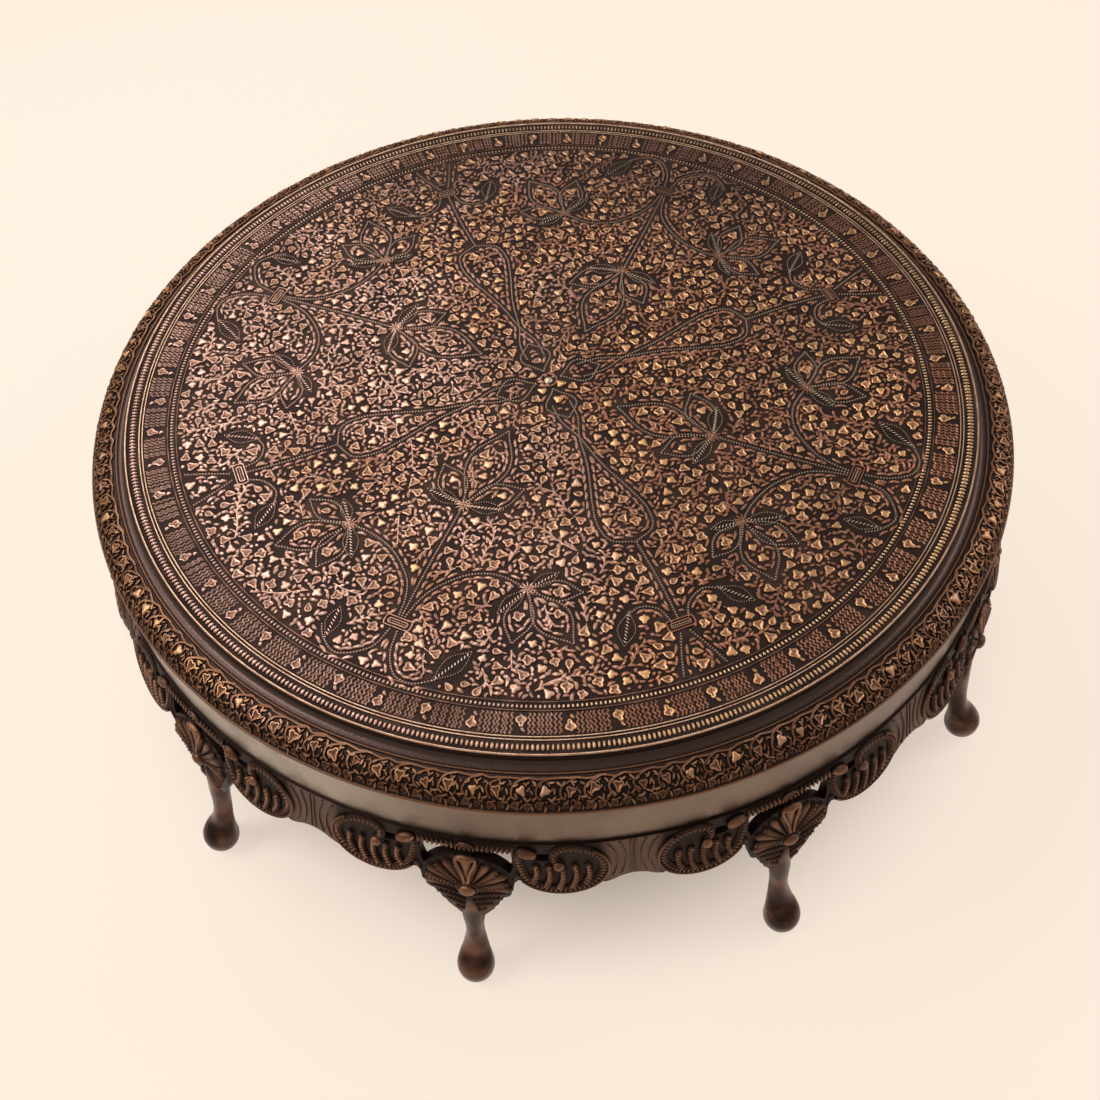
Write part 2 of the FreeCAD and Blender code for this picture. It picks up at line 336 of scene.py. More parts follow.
def stroke(length, width, height, bend):
    # a leaf stroke: a low pointed ridge, swept to one side
    bm = bmesh.new()
    bmesh.ops.create_cone(bm, cap_ends=True, segments=8, radius1=1, radius2=0.56, depth=1)
    for vert in bm.verts:
        x, y, z = vert.co
        vert.co = (x * length / 2, y * width / 2 + bend * x * x, (z + 0.5) * height - 0.1)
    return template(bm)


# Finishes

finishes = {
    "ground": (44, 31, 27), "groundPatch": (62, 44, 37), "strapBrown": (92, 68, 56), "gold": (218, 166, 112),
    "hollow": (142, 100, 78), "copper": (156, 106, 80), "roseSheen": (214, 172, 154), "bead": (206, 184, 158),
    "gilt": (198, 162, 134), "rope": (212, 172, 128), "coveDark": (80, 62, 55), "mouldBody": (116, 78, 55),
    "mouldGold": (192, 145, 100), "mouldRose": (186, 140, 112), "castDark": (42, 26, 20),
    "castNeck": (104, 82, 70), "castWarm": (100, 65, 47), "castWorn": (134, 94, 68),
    "footCopper": (118, 80, 64), "satin": (119, 98, 82), "satinDark": (98, 80, 68),
    "satinSheen": (168, 156, 144), "woodDark": (96, 64, 40), "woodPale": (150, 108, 70),
    "woodFleck": (70, 46, 30), "iron": (44, 39, 37), "ironRust": (88, 62, 48),
}
tones = {name: toLinear(*shade) for name, shade in finishes.items()}


def groundMaterial():
    # dark hollows of the field, and gilt lines where the sheet rises
    sheet = Sheet("embossed ground")
    where = sheet.places()
    x, y, z = sheet.split(where)
    out = sheet.radius(where) / mm
    patches = sheet.step(sheet.noise(where, 60.0), 0.42, 0.7)
    colour = sheet.blend(patches, tones["ground"], tones["groundPatch"])
    raised = sheet.step(z / mm, fieldHeight + 0.2, fieldHeight + 0.42)
    outer = sheet.step(out, 192.0, 198.0)
    gilt = sheet.blend(outer, tones["strapBrown"], tones["gilt"])
    gilt = sheet.blend(sheet.step(sheet.noise(where, 120.0), 0.4, 0.7) * 0.6, gilt, tones["copper"])
    colour = sheet.blend(raised, colour, gilt)
    skirt = sheet.step(z / mm, topHeight - 1.2, topHeight - 1.9)
    colour = sheet.blend(skirt, colour, tones["coveDark"])
    grain = sheet.noise(where, 1100.0, 4.0)
    rough = 0.5 - raised * 0.14 + sheet.noise(where, 300.0) * 0.12
    return sheet.finish(
        colour=colour, rough=rough, metal=0.88, normal=sheet.bump(grain, 0.0003, 0.8),
    )


def reliefMaterial(name, low, high, topTone, sideTone, leftSheenTone, shine, scuffed=0.6, crest=None):
    # metal that is dark at the foot of the relief and worn bright at its top; the worn colour also carries a
    # painted pink sheen towards the left and painted shade towards the back and the right
    sheet = Sheet(name)
    where = sheet.places()
    x, y, z = sheet.split(where)
    height = sheet.step(z / mm, low, high)
    # painted sheen: the worn tops turn rose towards the left (-x), mixed with random tone patches
    toneAndSheenDrift = x / mm * 0.0022 + sheet.noise(where, 16.0, 4.0)
    worn = sheet.blend(sheet.step(toneAndSheenDrift, 0.18, 0.6), tones[leftSheenTone], tones[topTone])
    scuffs = sheet.step(sheet.noise(where, 420.0, 4.0, 0.6), 0.36, 0.66)
    worn = sheet.blend(scuffs * scuffed, worn, tones["copper"])
    rubbed = sheet.step(sheet.noise(where, 11.0, 3.0), 0.6, 0.3)
    worn = sheet.blend(rubbed * scuffed * 0.7, worn, tones["strapBrown"])
    # painted shade: the worn tops darken towards the back (+y) and the right (+x), with random tarnish mixed
    # in
    shadeAndTarnish = y / mm * 0.0022 + x / mm * 0.001 + sheet.noise(where, 9.0) * 0.5
    worn = sheet.blend(sheet.step(shadeAndTarnish, 0.33, 0.85) * 0.75, worn, tones["strapBrown"])
    if crest:
        worn = sheet.blend(sheet.step(z / mm, crest - 0.16, crest + 0.06), tones["hollow"], worn)
    colour = sheet.blend(height, tones[sideTone], worn)
    return sheet.finish(
        colour=colour, rough=shine + scuffs * 0.14, metal=0.86 - height * 0.12,
        normal=sheet.bump(sheet.noise(where, 1700.0, 3.0), 0.00012, 0.6),
    )


ground = groundMaterial()
blossomMetal = reliefMaterial(
    "worn blossom", fieldHeight + 0.1, fieldHeight + 0.5, "gold", "ground", "roseSheen", 0.31, 0.5,
    fieldHeight + 0.62,
)
leafMetal = reliefMaterial(
    "coppered leaf", fieldHeight + 0.1, fieldHeight + 0.5, "copper", "ground", "roseSheen", 0.4,
)
strapMetal = reliefMaterial(
    "dark strap", fieldHeight, fieldHeight + 0.4, "groundPatch", "ground", "strapBrown", 0.42, 0.0,
)
beadMetal = reliefMaterial(
    "burnished bead", fieldHeight + 0.1, fieldHeight + 0.4, "bead", "ground", "roseSheen", 0.36, 0.15,
)
ropeMetal = reliefMaterial(
    "burnished rope", fieldHeight + 0.1, fieldHeight + 0.5, "rope", "ground", "roseSheen", 0.3, 0.25,
)

# The top sheet, with its ring lines, and its skirt down to the deck

rings = {
    "fieldEdge": 185.0, "beadRing": 187.1, "bandStart": 189.2, "giltLines": (201.5, 203.0),
    "lineWidth": 0.42, "beadPitch": 1.95, "beadSize": (2.5, 1.45, 1.0),
}


def lineAcross(radius, width, base, rise):
    return [(radius - width, base), (radius - width / 2, base + rise),
            (radius + width / 2, base + rise), (radius + width, base)]


def topSheetPiece():
    base = fieldHeight
    outline = [(0, base), (rings["fieldEdge"] * 0.5, base)]
    outline += lineAcross(rings["fieldEdge"], 0.4, base, 0.4)
    outline += lineAcross(rings["bandStart"], 0.4, base, 0.4)
    for radius in rings["giltLines"]:
        outline += lineAcross(radius, rings["lineWidth"], base + 0.05, 0.5)
    outline += [
        (ropeRadius - 2.4, base), (ropeRadius + 2.2, base - 0.2), (rimRadius - 1.25, base + 0.1),
        (rimRadius - 1.0, topHeight - 0.3), (rimRadius - 0.55, topHeight - 0.25),
        (rimRadius - 0.1, topHeight - 0.8), (rimRadius, topHeight - 1.4), (rimRadius, deckHeight),
        (rimRadius - 0.8, deckHeight), (rimRadius - 0.8, base - 1.0), (0, base - 0.8),
    ]
    piece("embossed_top", turned(outline), ground, ["top_sheet"])


topSheetPiece()

# Figures on the field: each place is a share of the rope ring's radius and degrees from the
# figure's own axis, measured outwards from the middle of the table

bouquet = {
    "firstAxis": 236.8, "repeats": 4,
    "straightStem": [(0.752, 0), (0.60, -0.9), (0.43, -2)],
    "leftStem": [
        (0.752, -0.5), (0.70, -1.4), (0.655, -3.6), (0.612, -9.5), (0.604, -16), (0.6185, -21.4),
    ],
    "rightStem": [(0.752, 0.5), (0.70, 1.2), (0.652, 3.1), (0.602, 8), (0.59, 14.2), (0.619, 20.4)],
    "leftCurl": [(0.785, -0.6), (0.845, -1.6), (0.888, -5.3), (0.872, -8.4), (0.845, -10.2)],
    "rightCurl": [(0.785, 0.6), (0.84, 1.4), (0.885, 3.4), (0.894, 6.2), (0.872, 9.2)],
    "petals": [
        ((0.43, -2), (0.187, -5), 0.30), ((0.43, -2), (0.354, -18.4), 0.36),
        ((0.43, -2), (0.345, 15.7), 0.36), ((0.6185, -21.4), (0.651, -32.2), 0.32),
        ((0.6185, -21.4), (0.779, -26.7), 0.34), ((0.6185, -21.4), (0.75, -18.3), 0.32),
        ((0.619, 20.4), (0.634, 31.5), 0.32), ((0.619, 20.4), (0.762, 28.6), 0.34),
        ((0.619, 20.4), (0.761, 18.7), 0.32),
    ],
    "leaves": [
        ((0.43, -2), (0.432, -15.3), 0.17), ((0.43, -2), (0.412, 10.7), 0.17),
        ((0.6185, -21.4), (0.588, -27.9), 0.17), ((0.6185, -21.4), (0.682, -14.9), 0.17),
        ((0.619, 20.4), (0.575, 27.0), 0.17), ((0.619, 20.4), (0.69, 15.4), 0.17),
        ((0.872, -8.2), (0.79, -9.7), 0.18), ((0.878, 8.6), (0.79, 13.0), 0.18),
    ],
    "nodes": [(0.43, -2), (0.6185, -21.4), (0.619, 20.4)],
    "tie": 0.768,
}
loop = {
    "firstAxis": 12.7, "repeats": 4,
    "side": [
        (0.085, -15), (0.14, -8.5), (0.20, 0), (0.29, 3.2), (0.40, 7.0), (0.46, 7.6), (0.51, 5.6),
        (0.532, 0),
    ],
    "stem": [(0.532, 0), (0.65, 0.3), (0.752, 0)],
    "leftCurl": [(0.757, -1.2), (0.715, -2.2), (0.697, -5.2), (0.712, -8.0)],
    "rightCurl": [(0.757, 1.6), (0.722, 3.2), (0.706, 6.6), (0.728, 9.6)],
    "leftRay": [(0.785, -0.7), (0.84, -2.2), (0.89, -3.2)],
    "rightRay": [(0.785, 0.7), (0.84, 2.2), (0.89, 3.2)],
    "leaves": [((0.700, -7.2), (0.785, -9.8), 0.2), ((0.716, 8.8), (0.792, 12.4), 0.2)],
    "petals": [((0.03, 0), (0.135, 0), 0.52)],
    "tie": 0.765,
}
strap = {
    "bandHalf": 0.8, "bandFlat": 0.4, "bandPitch": 1.6, "beadPitch": 1.4, "beadRadius": 0.55,
    "leafBeadPitch": 1.15, "leafBeadSize": 0.75, "leafHatchPitch": 1.7, "hatchLean": 0.9,
    "rays": 10, "rayOut": 2.3, "rayLead": 0.2, "railRadius": 0.36, "railSwell": 1.2,
    "tieFrames": ((6.4, 2.6), (4.6, 1.2)), "tieBeads": (-4.2, 4.2), "tieBeadPitch": 1.0,
    "tieCorners": (
        (1, -0.45), (1, 0.45), (0.9, 1), (-0.9, 1), (-1, 0.45), (-1, -0.45), (-0.9, -1), (0.9, -1),
    ),
    "boss": (10, 2.6, 1.8, 0.95), "bossRing": 4.2,
}


def at(spot, axis):
    radius, degrees = spot
    turn = math.radians(axis + degrees)
    return Vector((math.cos(turn), math.sin(turn))) * radius * ropeRadius


def petalSides(base, tip, width):
    # the two sides of a pointed petal, which swells past its middle
    heading = tip - base
    aside = Vector((-heading.y, heading.x))
    sides = []
    for side in (-1, 1):
        points = [base]
        for along in (0.12, 0.26, 0.4, 0.54, 0.68, 0.8, 0.9):
            out = 1.04 * math.sin(math.pi * along ** 1.12) ** 1.3
            points.append(base + heading * along + aside * side * out * width)
        sides.append(smoothPath(points + [tip], steps=6))
    return sides


def figurePaths():
    straps, leaves, nodes, ties = [], [], [], []
    for figure in (bouquet, loop):
        for turn in range(figure["repeats"]):
            axis = figure["firstAxis"] + 360 * turn / figure["repeats"]
            for key, spots in figure.items():
                if key.endswith(("Stem", "Curl", "Ray", "stem")):
                    straps.append(smoothPath([at(spot, axis) for spot in spots]))
                if key == "side":
                    for flip in (1, -1):
                        straps.append(smoothPath([at((r, flip * a), axis) for r, a in spots]))
            for base, tip, width in figure["petals"]:
                straps += petalSides(at(base, axis), at(tip, axis), width * 0.66)
            for base, tip, width in figure["leaves"]:
                leaves.append((at(base, axis), at(tip, axis), width))
            nodes += [at(spot, axis) for spot in figure.get("nodes", [])]
            ties.append((at((figure["tie"], 0), axis), math.radians(axis + 90)))
    return straps, leaves, nodes, ties


straps, leaves, nodes, ties = figurePaths()


def beadRow(bm, bead, path, pitch, size=1.0):
    for point, turn in walk(path, pitch):
        spot = (point.x, point.y, fieldHeight + 0.22)
        stamp(bm, bead, place(*spot, turn, 0.85 * size, 1.1 * size, 1.0))


def strapPieces():
    bands, rails, beads = bmesh.new(), bmesh.new(), bmesh.new()
    bead = button(6, strap["beadRadius"], strap["beadRadius"] * 0.6, 0.6)
    middles = [[point for point, turn in walk(path, strap["bandPitch"])] for path in straps]
    cords(bands, middles, strap["bandHalf"], fieldHeight, strap["bandFlat"])
    for path in straps:
        beadRow(beads, bead, path, strap["beadPitch"])
    hatch = stroke(2.8, 0.75, 0.6, 0.1)
    for base, tip, width in leaves:
        for path in petalSides(base, tip, width):
            beadRow(beads, bead, path, strap["leafBeadPitch"], strap["leafBeadSize"])
        spine = smoothPath([base, tip], steps=8)
        for point, turn in walk(spine, strap["leafHatchPitch"])[1:-1]:
            stamp(beads, hatch, place(point.x, point.y, fieldHeight, turn + strap["hatchLean"]))
    ray = stroke(5.4, 0.95, 0.75, 0.0)
    for node in nodes:
        for lead in turns(strap["rays"]):
            turn = lead + strap["rayLead"]
            x, y = around(strap["rayOut"], turn)
            stamp(rails, ray, place(node.x + x, node.y + y, fieldHeight + 0.1, turn))
    frames = []
    for middle, turn in ties:
        spin = Matrix.Rotation(turn, 2)
        for length, depth in strap["tieFrames"]:
            corners = [middle + spin @ Vector((x * length, y * depth)) for x, y in strap["tieCorners"]]
            frames.append(corners + corners[:1])
        ends = [middle + spin @ Vector((x, 0)) for x in strap["tieBeads"]]
        beadRow(beads, bead, ends, strap["tieBeadPitch"])
    frames.append([Vector(around(1.0, k / 8 * math.pi)) * strap["bossRing"] for k in range(17)])
    cords(rails, frames, strap["railRadius"] * strap["railSwell"], fieldHeight + 0.2, 1.1)
    stamp(beads, button(*strap["boss"]), place(0, 0, fieldHeight))
    ladder = bmesh.new()
    for turn in turns(round(2 * math.pi * rings["beadRing"] / rings["beadPitch"])):
        x, y = around(rings["beadRing"], turn)
        stamp(ladder, bead, place(x, y, fieldHeight + 0.1, turn, *rings["beadSize"]))
    piece("strap_bands", bands, strapMetal)
    piece("strap_ties", rails, leafMetal)
    piece("strap_beads", beads, beadMetal)
    piece("bead_ring", ladder, ropeMetal)


strapPieces()

# The close vine pattern that fills the field

jaal = {
    "fieldRadius": 182.4, "seed": 11, "vineTries": 1500, "vineRoom": 11.5, "vineStrapRoom": 3.0,
    "vineEdgeRoom": 1.5, "vineFewest": 4, "vineSteps": 17, "vineStep": 1.3, "vineLeast": 7, "vineCurl": 0.12,
    "vineRadius": 0.5, "leafPitch": 2.0, "leafReach": 1.6, "blossomGap": 6.0, "blossomTries": 60000,
    "blossomStrapRoom": 4.6, "blossomVineRoom": 4.3, "stalkRoom": 8.0, "stalkOut": 3.6, "strokeGap": 2.05,
    "strokeTries": 90000, "strokeBeyond": 0.8, "strokeRoom": 3.6, "strokeStrapRoom": 2.9,
    "strokeEdgeRoom": 1.8, "strokeVineRoom": 2.3, "edgePitch": 5.4, "edgeAway": 2.3, "edgeSlack": 0.4,
    "edgeBlossomRoom": 3.3,
}


def flow(x, y):
    # the way that the vines run at a place on the field
    bend = 1.7 * math.sin(x / 21 + 1.3 * math.sin(y / 29))
    bend += 1.9 * math.cos(y / 25 - 0.9 * math.sin(x / 18))
    return bend + math.atan2(y, x)


def clearOf(x, y, rooms):
    # whether a place keeps the given distance from each set of points
    return all(tree.find((x, y, 0))[2] > room for tree, room in rooms)


def scattered(draw, radius, gap, tries, rooms):
    # random places that keep a least distance from each other
    cells = {}
    found = []
    for attempt in range(tries):
        out = radius * math.sqrt(draw.random())
        x, y = around(out, draw.random() * 2 * math.pi)
        column, row = int(x // gap), int(y // gap)
        near = any(
            (a - x) ** 2 + (b - y) ** 2 < gap * gap
            for i in (column - 1, column, column + 1) for j in (row - 1, row, row + 1)
            for a, b in cells.get((i, j), ())
        )
        if not near and clearOf(x, y, rooms):
            cells.setdefault((column, row), []).append((x, y))
            found.append((x, y))
    return found


def treeOf(points):
    tree = kdtree.KDTree(len(points))
    for index, point in enumerate(points):
        tree.insert((point[0], point[1], 0), index)
    tree.balance()
    return tree


def strapPoints():
    points = []
    for path in straps:
        points += [point for point, turn in walk(path, 1.2)]
    for base, tip, width in leaves:
        points += [base.lerp(tip, k / 8) for k in range(9)]
        for path in petalSides(base, tip, width):
            points += [point for point, turn in walk(path, 2.0)]
    points += nodes
    for middle, turn in ties:
        points += [middle + Matrix.Rotation(turn, 2) @ Vector((x, 0)) for x in (-5, -2.5, 0, 2.5, 5)]
    points.append(Vector((0, 0)))
    return points


def vinePaths(draw, strapTree):
    # curved stems that keep clear of the straps and of each other
    vines, spots, tree = [], [], treeOf([(999, 999)])
    for attempt in range(jaal["vineTries"]):
        out = jaal["fieldRadius"] * math.sqrt(draw.random())
        start = Vector(around(out, draw.random() * 2 * math.pi))
        arms = []
        curl = draw.uniform(-1, 1) * jaal["vineCurl"]
        rooms = ((tree, jaal["vineRoom"]), (strapTree, jaal["vineStrapRoom"]))
        for way in (-1, 1):
            spot, arm = start.copy(), []
            heading = flow(spot.x, spot.y)
            for step in range(draw.randint(jaal["vineFewest"], jaal["vineSteps"])):
                outside = spot.length > jaal["fieldRadius"] - jaal["vineEdgeRoom"]
                if outside or not clearOf(spot.x, spot.y, rooms):
                    break
                arm.append(spot.copy())
                heading += curl
                spot += Vector((math.cos(heading), math.sin(heading))) * jaal["vineStep"] * way
            arms.append(arm)
        path = arms[0][:0:-1] + arms[1]
        if len(path) >= jaal["vineLeast"]:
            vines.append(path)
            spots += path
            tree = treeOf(spots)
    return vines, tree


def edgeLeaves(strapTree, flowerTree):
    # long leaves that lie along both sides of the straps
    away = jaal["edgeAway"]
    rooms = ((strapTree, away - jaal["edgeSlack"]), (flowerTree, jaal["edgeBlossomRoom"]))
    edges = []
    for path in straps:
        for point, turn in walk(path, jaal["edgePitch"])[1:-1]:
            for side in (1, -1):
                x = point.x - side * math.sin(turn) * away
                y = point.y + side * math.cos(turn) * away
                if clearOf(x, y, rooms):
                    edges.append((x, y, turn, side))
    return edges


def vineLeaves(draw, bm, vines):
    leaf = stroke(4.8, 1.9, 0.85, 0.45)
    for path in vines:
        side = 1
        for point, turn in walk(path, jaal["leafPitch"]):
            side = -side if draw.random() < 0.8 else side
            lean = turn + side * draw.uniform(0.45, 0.85)
            size = draw.uniform(0.8, 1.15)
            x = point.x + math.cos(lean) * jaal["leafReach"] * size
            y = point.y + math.sin(lean) * jaal["leafReach"] * size
            stamp(bm, leaf, place(x, y, fieldHeight, lean, size, size * side, 1.0))


def blossomQuarters(draw, vineWork, flowers, vineTree):
    # blossoms in four pieces, one for each quarter of the field, on stalks where a vine is near
    shapes = [
        blossom(heartLobes, 1.0, 1.12), blossom(clubLobes, 1.0, 1.1), blossom(clubLobes, 0.95, 0.96, domed),
        blossom(heartLobes, 0.95, 1.02, domed), blossom(budLobes, 0.95, 1.0),
    ]
    stalk = stroke(3.4, 0.9, 0.7, 0.15)
    quarters = [bmesh.new() for k in range(4)]
    for x, y in flowers:
        (nearX, nearY, nearZ), index, gap = vineTree.find((x, y, 0))
        toward = math.atan2(nearY - y, nearX - x) + draw.uniform(-0.5, 0.5)
        turn = toward + math.pi / 2
        if gap < jaal["stalkRoom"]:
            outX, outY = around(jaal["stalkOut"], toward)
            stamp(vineWork, stalk, place(x + outX, y + outY, fieldHeight, toward))
        size = draw.uniform(0.88, 1.1)
        shape = draw.choices(shapes, (5, 5, 3, 3, 2))[0]
        matrix = place(x, y, fieldHeight, turn, size, size, draw.uniform(0.85, 1.0))
        stamp(quarters[(x > 0) + 2 * (y > 0)], shape, matrix)
    return quarters


def leafWork(draw, edges, marks, flowerTree):
    # long leaves beside the straps, and short ones that curl round the blossoms
    bm = bmesh.new()
    edgeLeaf = stroke(6.4, 1.9, 0.9, 0.35)
    for x, y, turn, side in edges:
        stamp(bm, edgeLeaf, place(x, y, fieldHeight, turn + side * 0.1, 1.0, side, 1.0))
    shorter = [stroke(5.0, 2.2, 0.85, 0.5), stroke(4.2, 2.0, 0.8, -0.4), stroke(2.8, 2.3, 0.85, 0.0)]
    for x, y in marks:
        (nearX, nearY, nearZ), index, gap = flowerTree.find((x, y, 0))
        turn = math.atan2(y - nearY, x - nearX) + math.pi / 2 + draw.uniform(-0.4, 0.4)
        size = draw.uniform(0.8, 1.1)
        stamp(bm, draw.choice(shorter), place(x, y, fieldHeight, turn, size, size, 1.0))
    return bm


def jaalPieces():
    draw = random.Random(jaal["seed"])
    strapTree = treeOf(strapPoints())
    vines, vineTree = vinePaths(draw, strapTree)
    flowers = scattered(
        draw, jaal["fieldRadius"], jaal["blossomGap"], jaal["blossomTries"],
        ((strapTree, jaal["blossomStrapRoom"]), (vineTree, jaal["blossomVineRoom"])),
    )
    flowerTree = treeOf(flowers)
    edges = edgeLeaves(strapTree, flowerTree)
    edgeTree = treeOf([
        (x + k * math.cos(turn), y + k * math.sin(turn))
        for x, y, turn, side in edges for k in (-2, 0, 2)
    ])
    marks = scattered(
        draw, jaal["fieldRadius"] + jaal["strokeBeyond"], jaal["strokeGap"], jaal["strokeTries"],
        (
            (flowerTree, jaal["strokeRoom"]), (strapTree, jaal["strokeStrapRoom"]),
            (edgeTree, jaal["strokeEdgeRoom"]), (vineTree, jaal["strokeVineRoom"]),
        ),
    )
    vineWork = bmesh.new()
    cords(vineWork, vines, jaal["vineRadius"], fieldHeight + 0.15, 1.2)
    vineLeaves(draw, vineWork, vines)
    quarters = blossomQuarters(draw, vineWork, flowers, vineTree)
    strokes = leafWork(draw, edges, marks, flowerTree)
    for index, quarter in enumerate(quarters):
        piece("jaal_blossoms_%d" % (index + 1), quarter, blossomMetal)
    piece("jaal_vines", vineWork, leafMetal)
    piece("jaal_leaves", strokes, leafMetal)
    print("vines", len(vines), "blossoms", len(flowers), "strokes", len(marks))


jaalPieces()

# Rope ring, and the tooled band with its small flowers

rope = {
    "beads": 620, "bead": (8, 1.0, 0.7, 1.0), "halfLength": 2.0, "widths": (0.72, 0.82, 0.95), "seed": 5,
}
band = {
    "from": 190.3, "to": 200.4, "wave": 2.7, "sway": 0.5, "shifts": (0.0, 1.1, 2.3), "ridge": 0.72,
    "ridgeSteps": 14, "pitch": 1.85, "alike": 3, "flowers": 60, "middle": 195.3, "flowerOut": 1.2,
    "flowerRoom": 3.1, "leafOut": 4.2, "leafLead": 0.004, "seed": 3,
}


def ropePiece():
    draw = random.Random(rope["seed"])
    bm = bmesh.new()
    bead = button(*rope["bead"])
    for turn in turns(rope["beads"]):
        x, y = around(ropeRadius, turn)
        width = draw.choice(rope["widths"])
        stamp(bm, bead, place(x, y, fieldHeight + 0.05, turn, rope["halfLength"], width, 1.0))
    piece("rope_ring", bm, ropeMetal)


def bandRidges():
    # rippled ridges that run outwards across the band, one for each shift of the ripple
    ridges = []
    for shift in band["shifts"]:
        path = []
        for step in range(band["ridgeSteps"] + 1):
            along = (band["to"] - band["from"]) * step / band["ridgeSteps"]
            sway = band["sway"] * math.sin(2 * math.pi * along / band["wave"] + shift)
            path.append(Vector((band["from"] + along, sway)))
        ridge = bmesh.new()
        cords(ridge, [path], band["ridge"], fieldHeight, 0.95, 0)
        ridges.append(template(ridge))
    return ridges


def bandPieces():
    draw = random.Random(band["seed"])
    ridges = bandRidges()
    gap = 2 * math.pi / band["flowers"]
    count = round(2 * math.pi * band["middle"] / band["pitch"])
    scallops = bmesh.new()
    for index in range(count):
        turn = 2 * math.pi * (index + draw.uniform(-0.2, 0.2)) / count
        fromFlower = abs((turn + gap / 2) % gap - gap / 2) * band["middle"]
        if index % band["alike"] == 0:
            ridge = draw.choice(ridges)
        if fromFlower > band["flowerRoom"]:
            stamp(scallops, ridge, Matrix.Rotation(turn, 4, "Z"))
    piece("band_scallops", scallops, leafMetal)
    flower = blossom(clubLobes, 0.95, 1.05)
    leaf = stroke(3.6, 2.0, 0.85, 0.4)
    flowers = bmesh.new()
    for index in range(band["flowers"]):
        turn = gap * index
        way = 1 if index % 2 else -1
        radius = band["middle"] - way * band["flowerOut"]
        lean = turn - way * math.pi / 2 + draw.uniform(-0.3, 0.3)
        stamp(flowers, flower, place(*around(radius, turn), fieldHeight, lean, 0.95, 1.15, 1.0))
        x, y = around(radius + way * band["leafOut"], turn + band["leafLead"])
        stamp(flowers, leaf, place(x, y, fieldHeight, turn + 0.5))
    piece("band_flowers", flowers, blossomMetal)


ropePiece()
bandPieces()

# The moulding: a dark smooth cove, then a convex band with a running vine

moulding = {
    "coveWidth": 4.5, "coveDrop": 1.8, "cove": ((0.25, 1.35), (0.5, 1.95), (0.75, 2.1)),
    "bulge": 3.0, "lip": 1.0, "upperLip": ((1.0, 0.0), (0.985, 0.55), (0.95, 0.6), (0.925, 0.0)),
    "lowerLip": ((0.07, 0.1), (0.05, 0.75), (0.01, 0.8)), "motifs": 70, "period": 20.0, "lipBeads": 7,
    "parts": 3, "setIn": 6, "seed": 41, "heartNudge": (0.5, -0.6, 0.5), "floretNudge": (0.5, -0.4, 0.4),
    "markNudge": (0.4, -0.4, 0.4), "stemNudge": (0.5, -0.5, 0.3),
    "hearts": [(4.9, 10.0, 0.98, 0.3), (14.9, 10.3, 0.92, -0.25)],
    "florets": [(2.4, 4.0, 0.66, 2.9), (7.4, 3.8, 0.6, 3.4), (12.4, 4.1, 0.66, 3.0), (17.4, 3.8, 0.6, 3.3)],
    "berries": [(9.9, 12.6), (19.9, 12.4), (4.9, 5.9), (14.9, 6.0), (9.9, 6.2), (19.8, 6.1)],
    "stems": [
        [(20.4, 15.2), (17.5, 15.5), (14.6, 14.8), (11.6, 14.9), (8.0, 15.5), (4.6, 14.8), (0.4, 15.2)],
        [(8.0, 15.3), (3.6, 13.7), (1.1, 11.4), (1.0, 8.6), (2.9, 6.6)],
        [(18.0, 15.3), (13.6, 13.7), (11.1, 11.4), (11.0, 8.6), (12.9, 6.6)],
    ],
    "hatches": [
        (9.0, 9.6, 1.9), (19.0, 9.6, 1.9), (7.2, 13.0, 0.5), (17.2, 13.0, 0.5), (8.3, 7.0, 1.2),
        (18.3, 7.0, 1.2), (5.0, 3.2, 1.5), (9.9, 3.2, 1.6), (14.9, 3.2, 1.5), (19.9, 3.2, 1.6),
        (2.6, 12.2, 1.0), (12.6, 12.2, 0.9), (6.6, 6.6, 2.6), (16.6, 6.7, 2.5), (3.0, 8.2, 2.2),
        (13.0, 8.3, 2.1), (0.4, 13.0, 2.3), (10.4, 13.0, 2.4), (6.4, 12.9, 2.2), (16.4, 12.9, 2.1),
        (7.6, 10.4, 0.8), (17.6, 10.4, 0.9), (0.2, 7.2, 0.6), (10.2, 7.2, 0.5), (3.7, 5.4, 0.4),
        (8.7, 5.2, 2.7), (13.7, 5.4, 0.5), (18.7, 5.2, 2.6),
    ],
}


def bandArc():
    # centre, radius and half angle of the band's arc, and the direction it faces
    start = Vector((mouldingRadius, deckHeight + moulding["lip"]))
    end = Vector((rimRadius + moulding["coveWidth"], coveTop - moulding["coveDrop"]))
    chord = end - start
    outward = Vector((chord.y, -chord.x)).normalized()
    radius = (chord.length_squared / 4 + moulding["bulge"] ** 2) / (2 * moulding["bulge"])
    centre = (start + end) / 2 + outward * (moulding["bulge"] - radius)
    return centre, radius, math.asin(chord.length / 2 / radius), outward


bandCentre, bandRadius, bandHalf, bandFacing = bandArc()


def onBand(share, rise=0.0):
    # radius and height at a share of the way up the band, raised off its surface
    turn = bandHalf * (2 * share - 1)
    facing = Matrix.Rotation(turn, 2) @ bandFacing
    return bandCentre + facing * (bandRadius + rise)


def mouldingBody():
    outline = [(rimRadius, deckHeight), (rimRadius, coveTop)]
    for share, drop in moulding["cove"]:
        outline.append((rimRadius + moulding["coveWidth"] * share, coveTop - drop))
    outline += [tuple(onBand(*spot)) for spot in moulding["upperLip"]]
    outline += [tuple(onBand(0.9 - 0.8 * k / 12)) for k in range(13)]
    outline += [tuple(onBand(*spot)) for spot in moulding["lowerLip"]]
    outline += [(mouldingRadius + 0.2, deckHeight + 0.5), (mouldingRadius - 0.3, deckHeight)]
    piece("moulding_body", turned(outline), mouldingMetal, ["edge_moulding"])


def nudged(draw, x, y, nudge):
    # a place moved a little, first along the band and then up or down
    along, low, high = nudge
    return (x + draw.uniform(-along, along), y + draw.uniform(low, high))


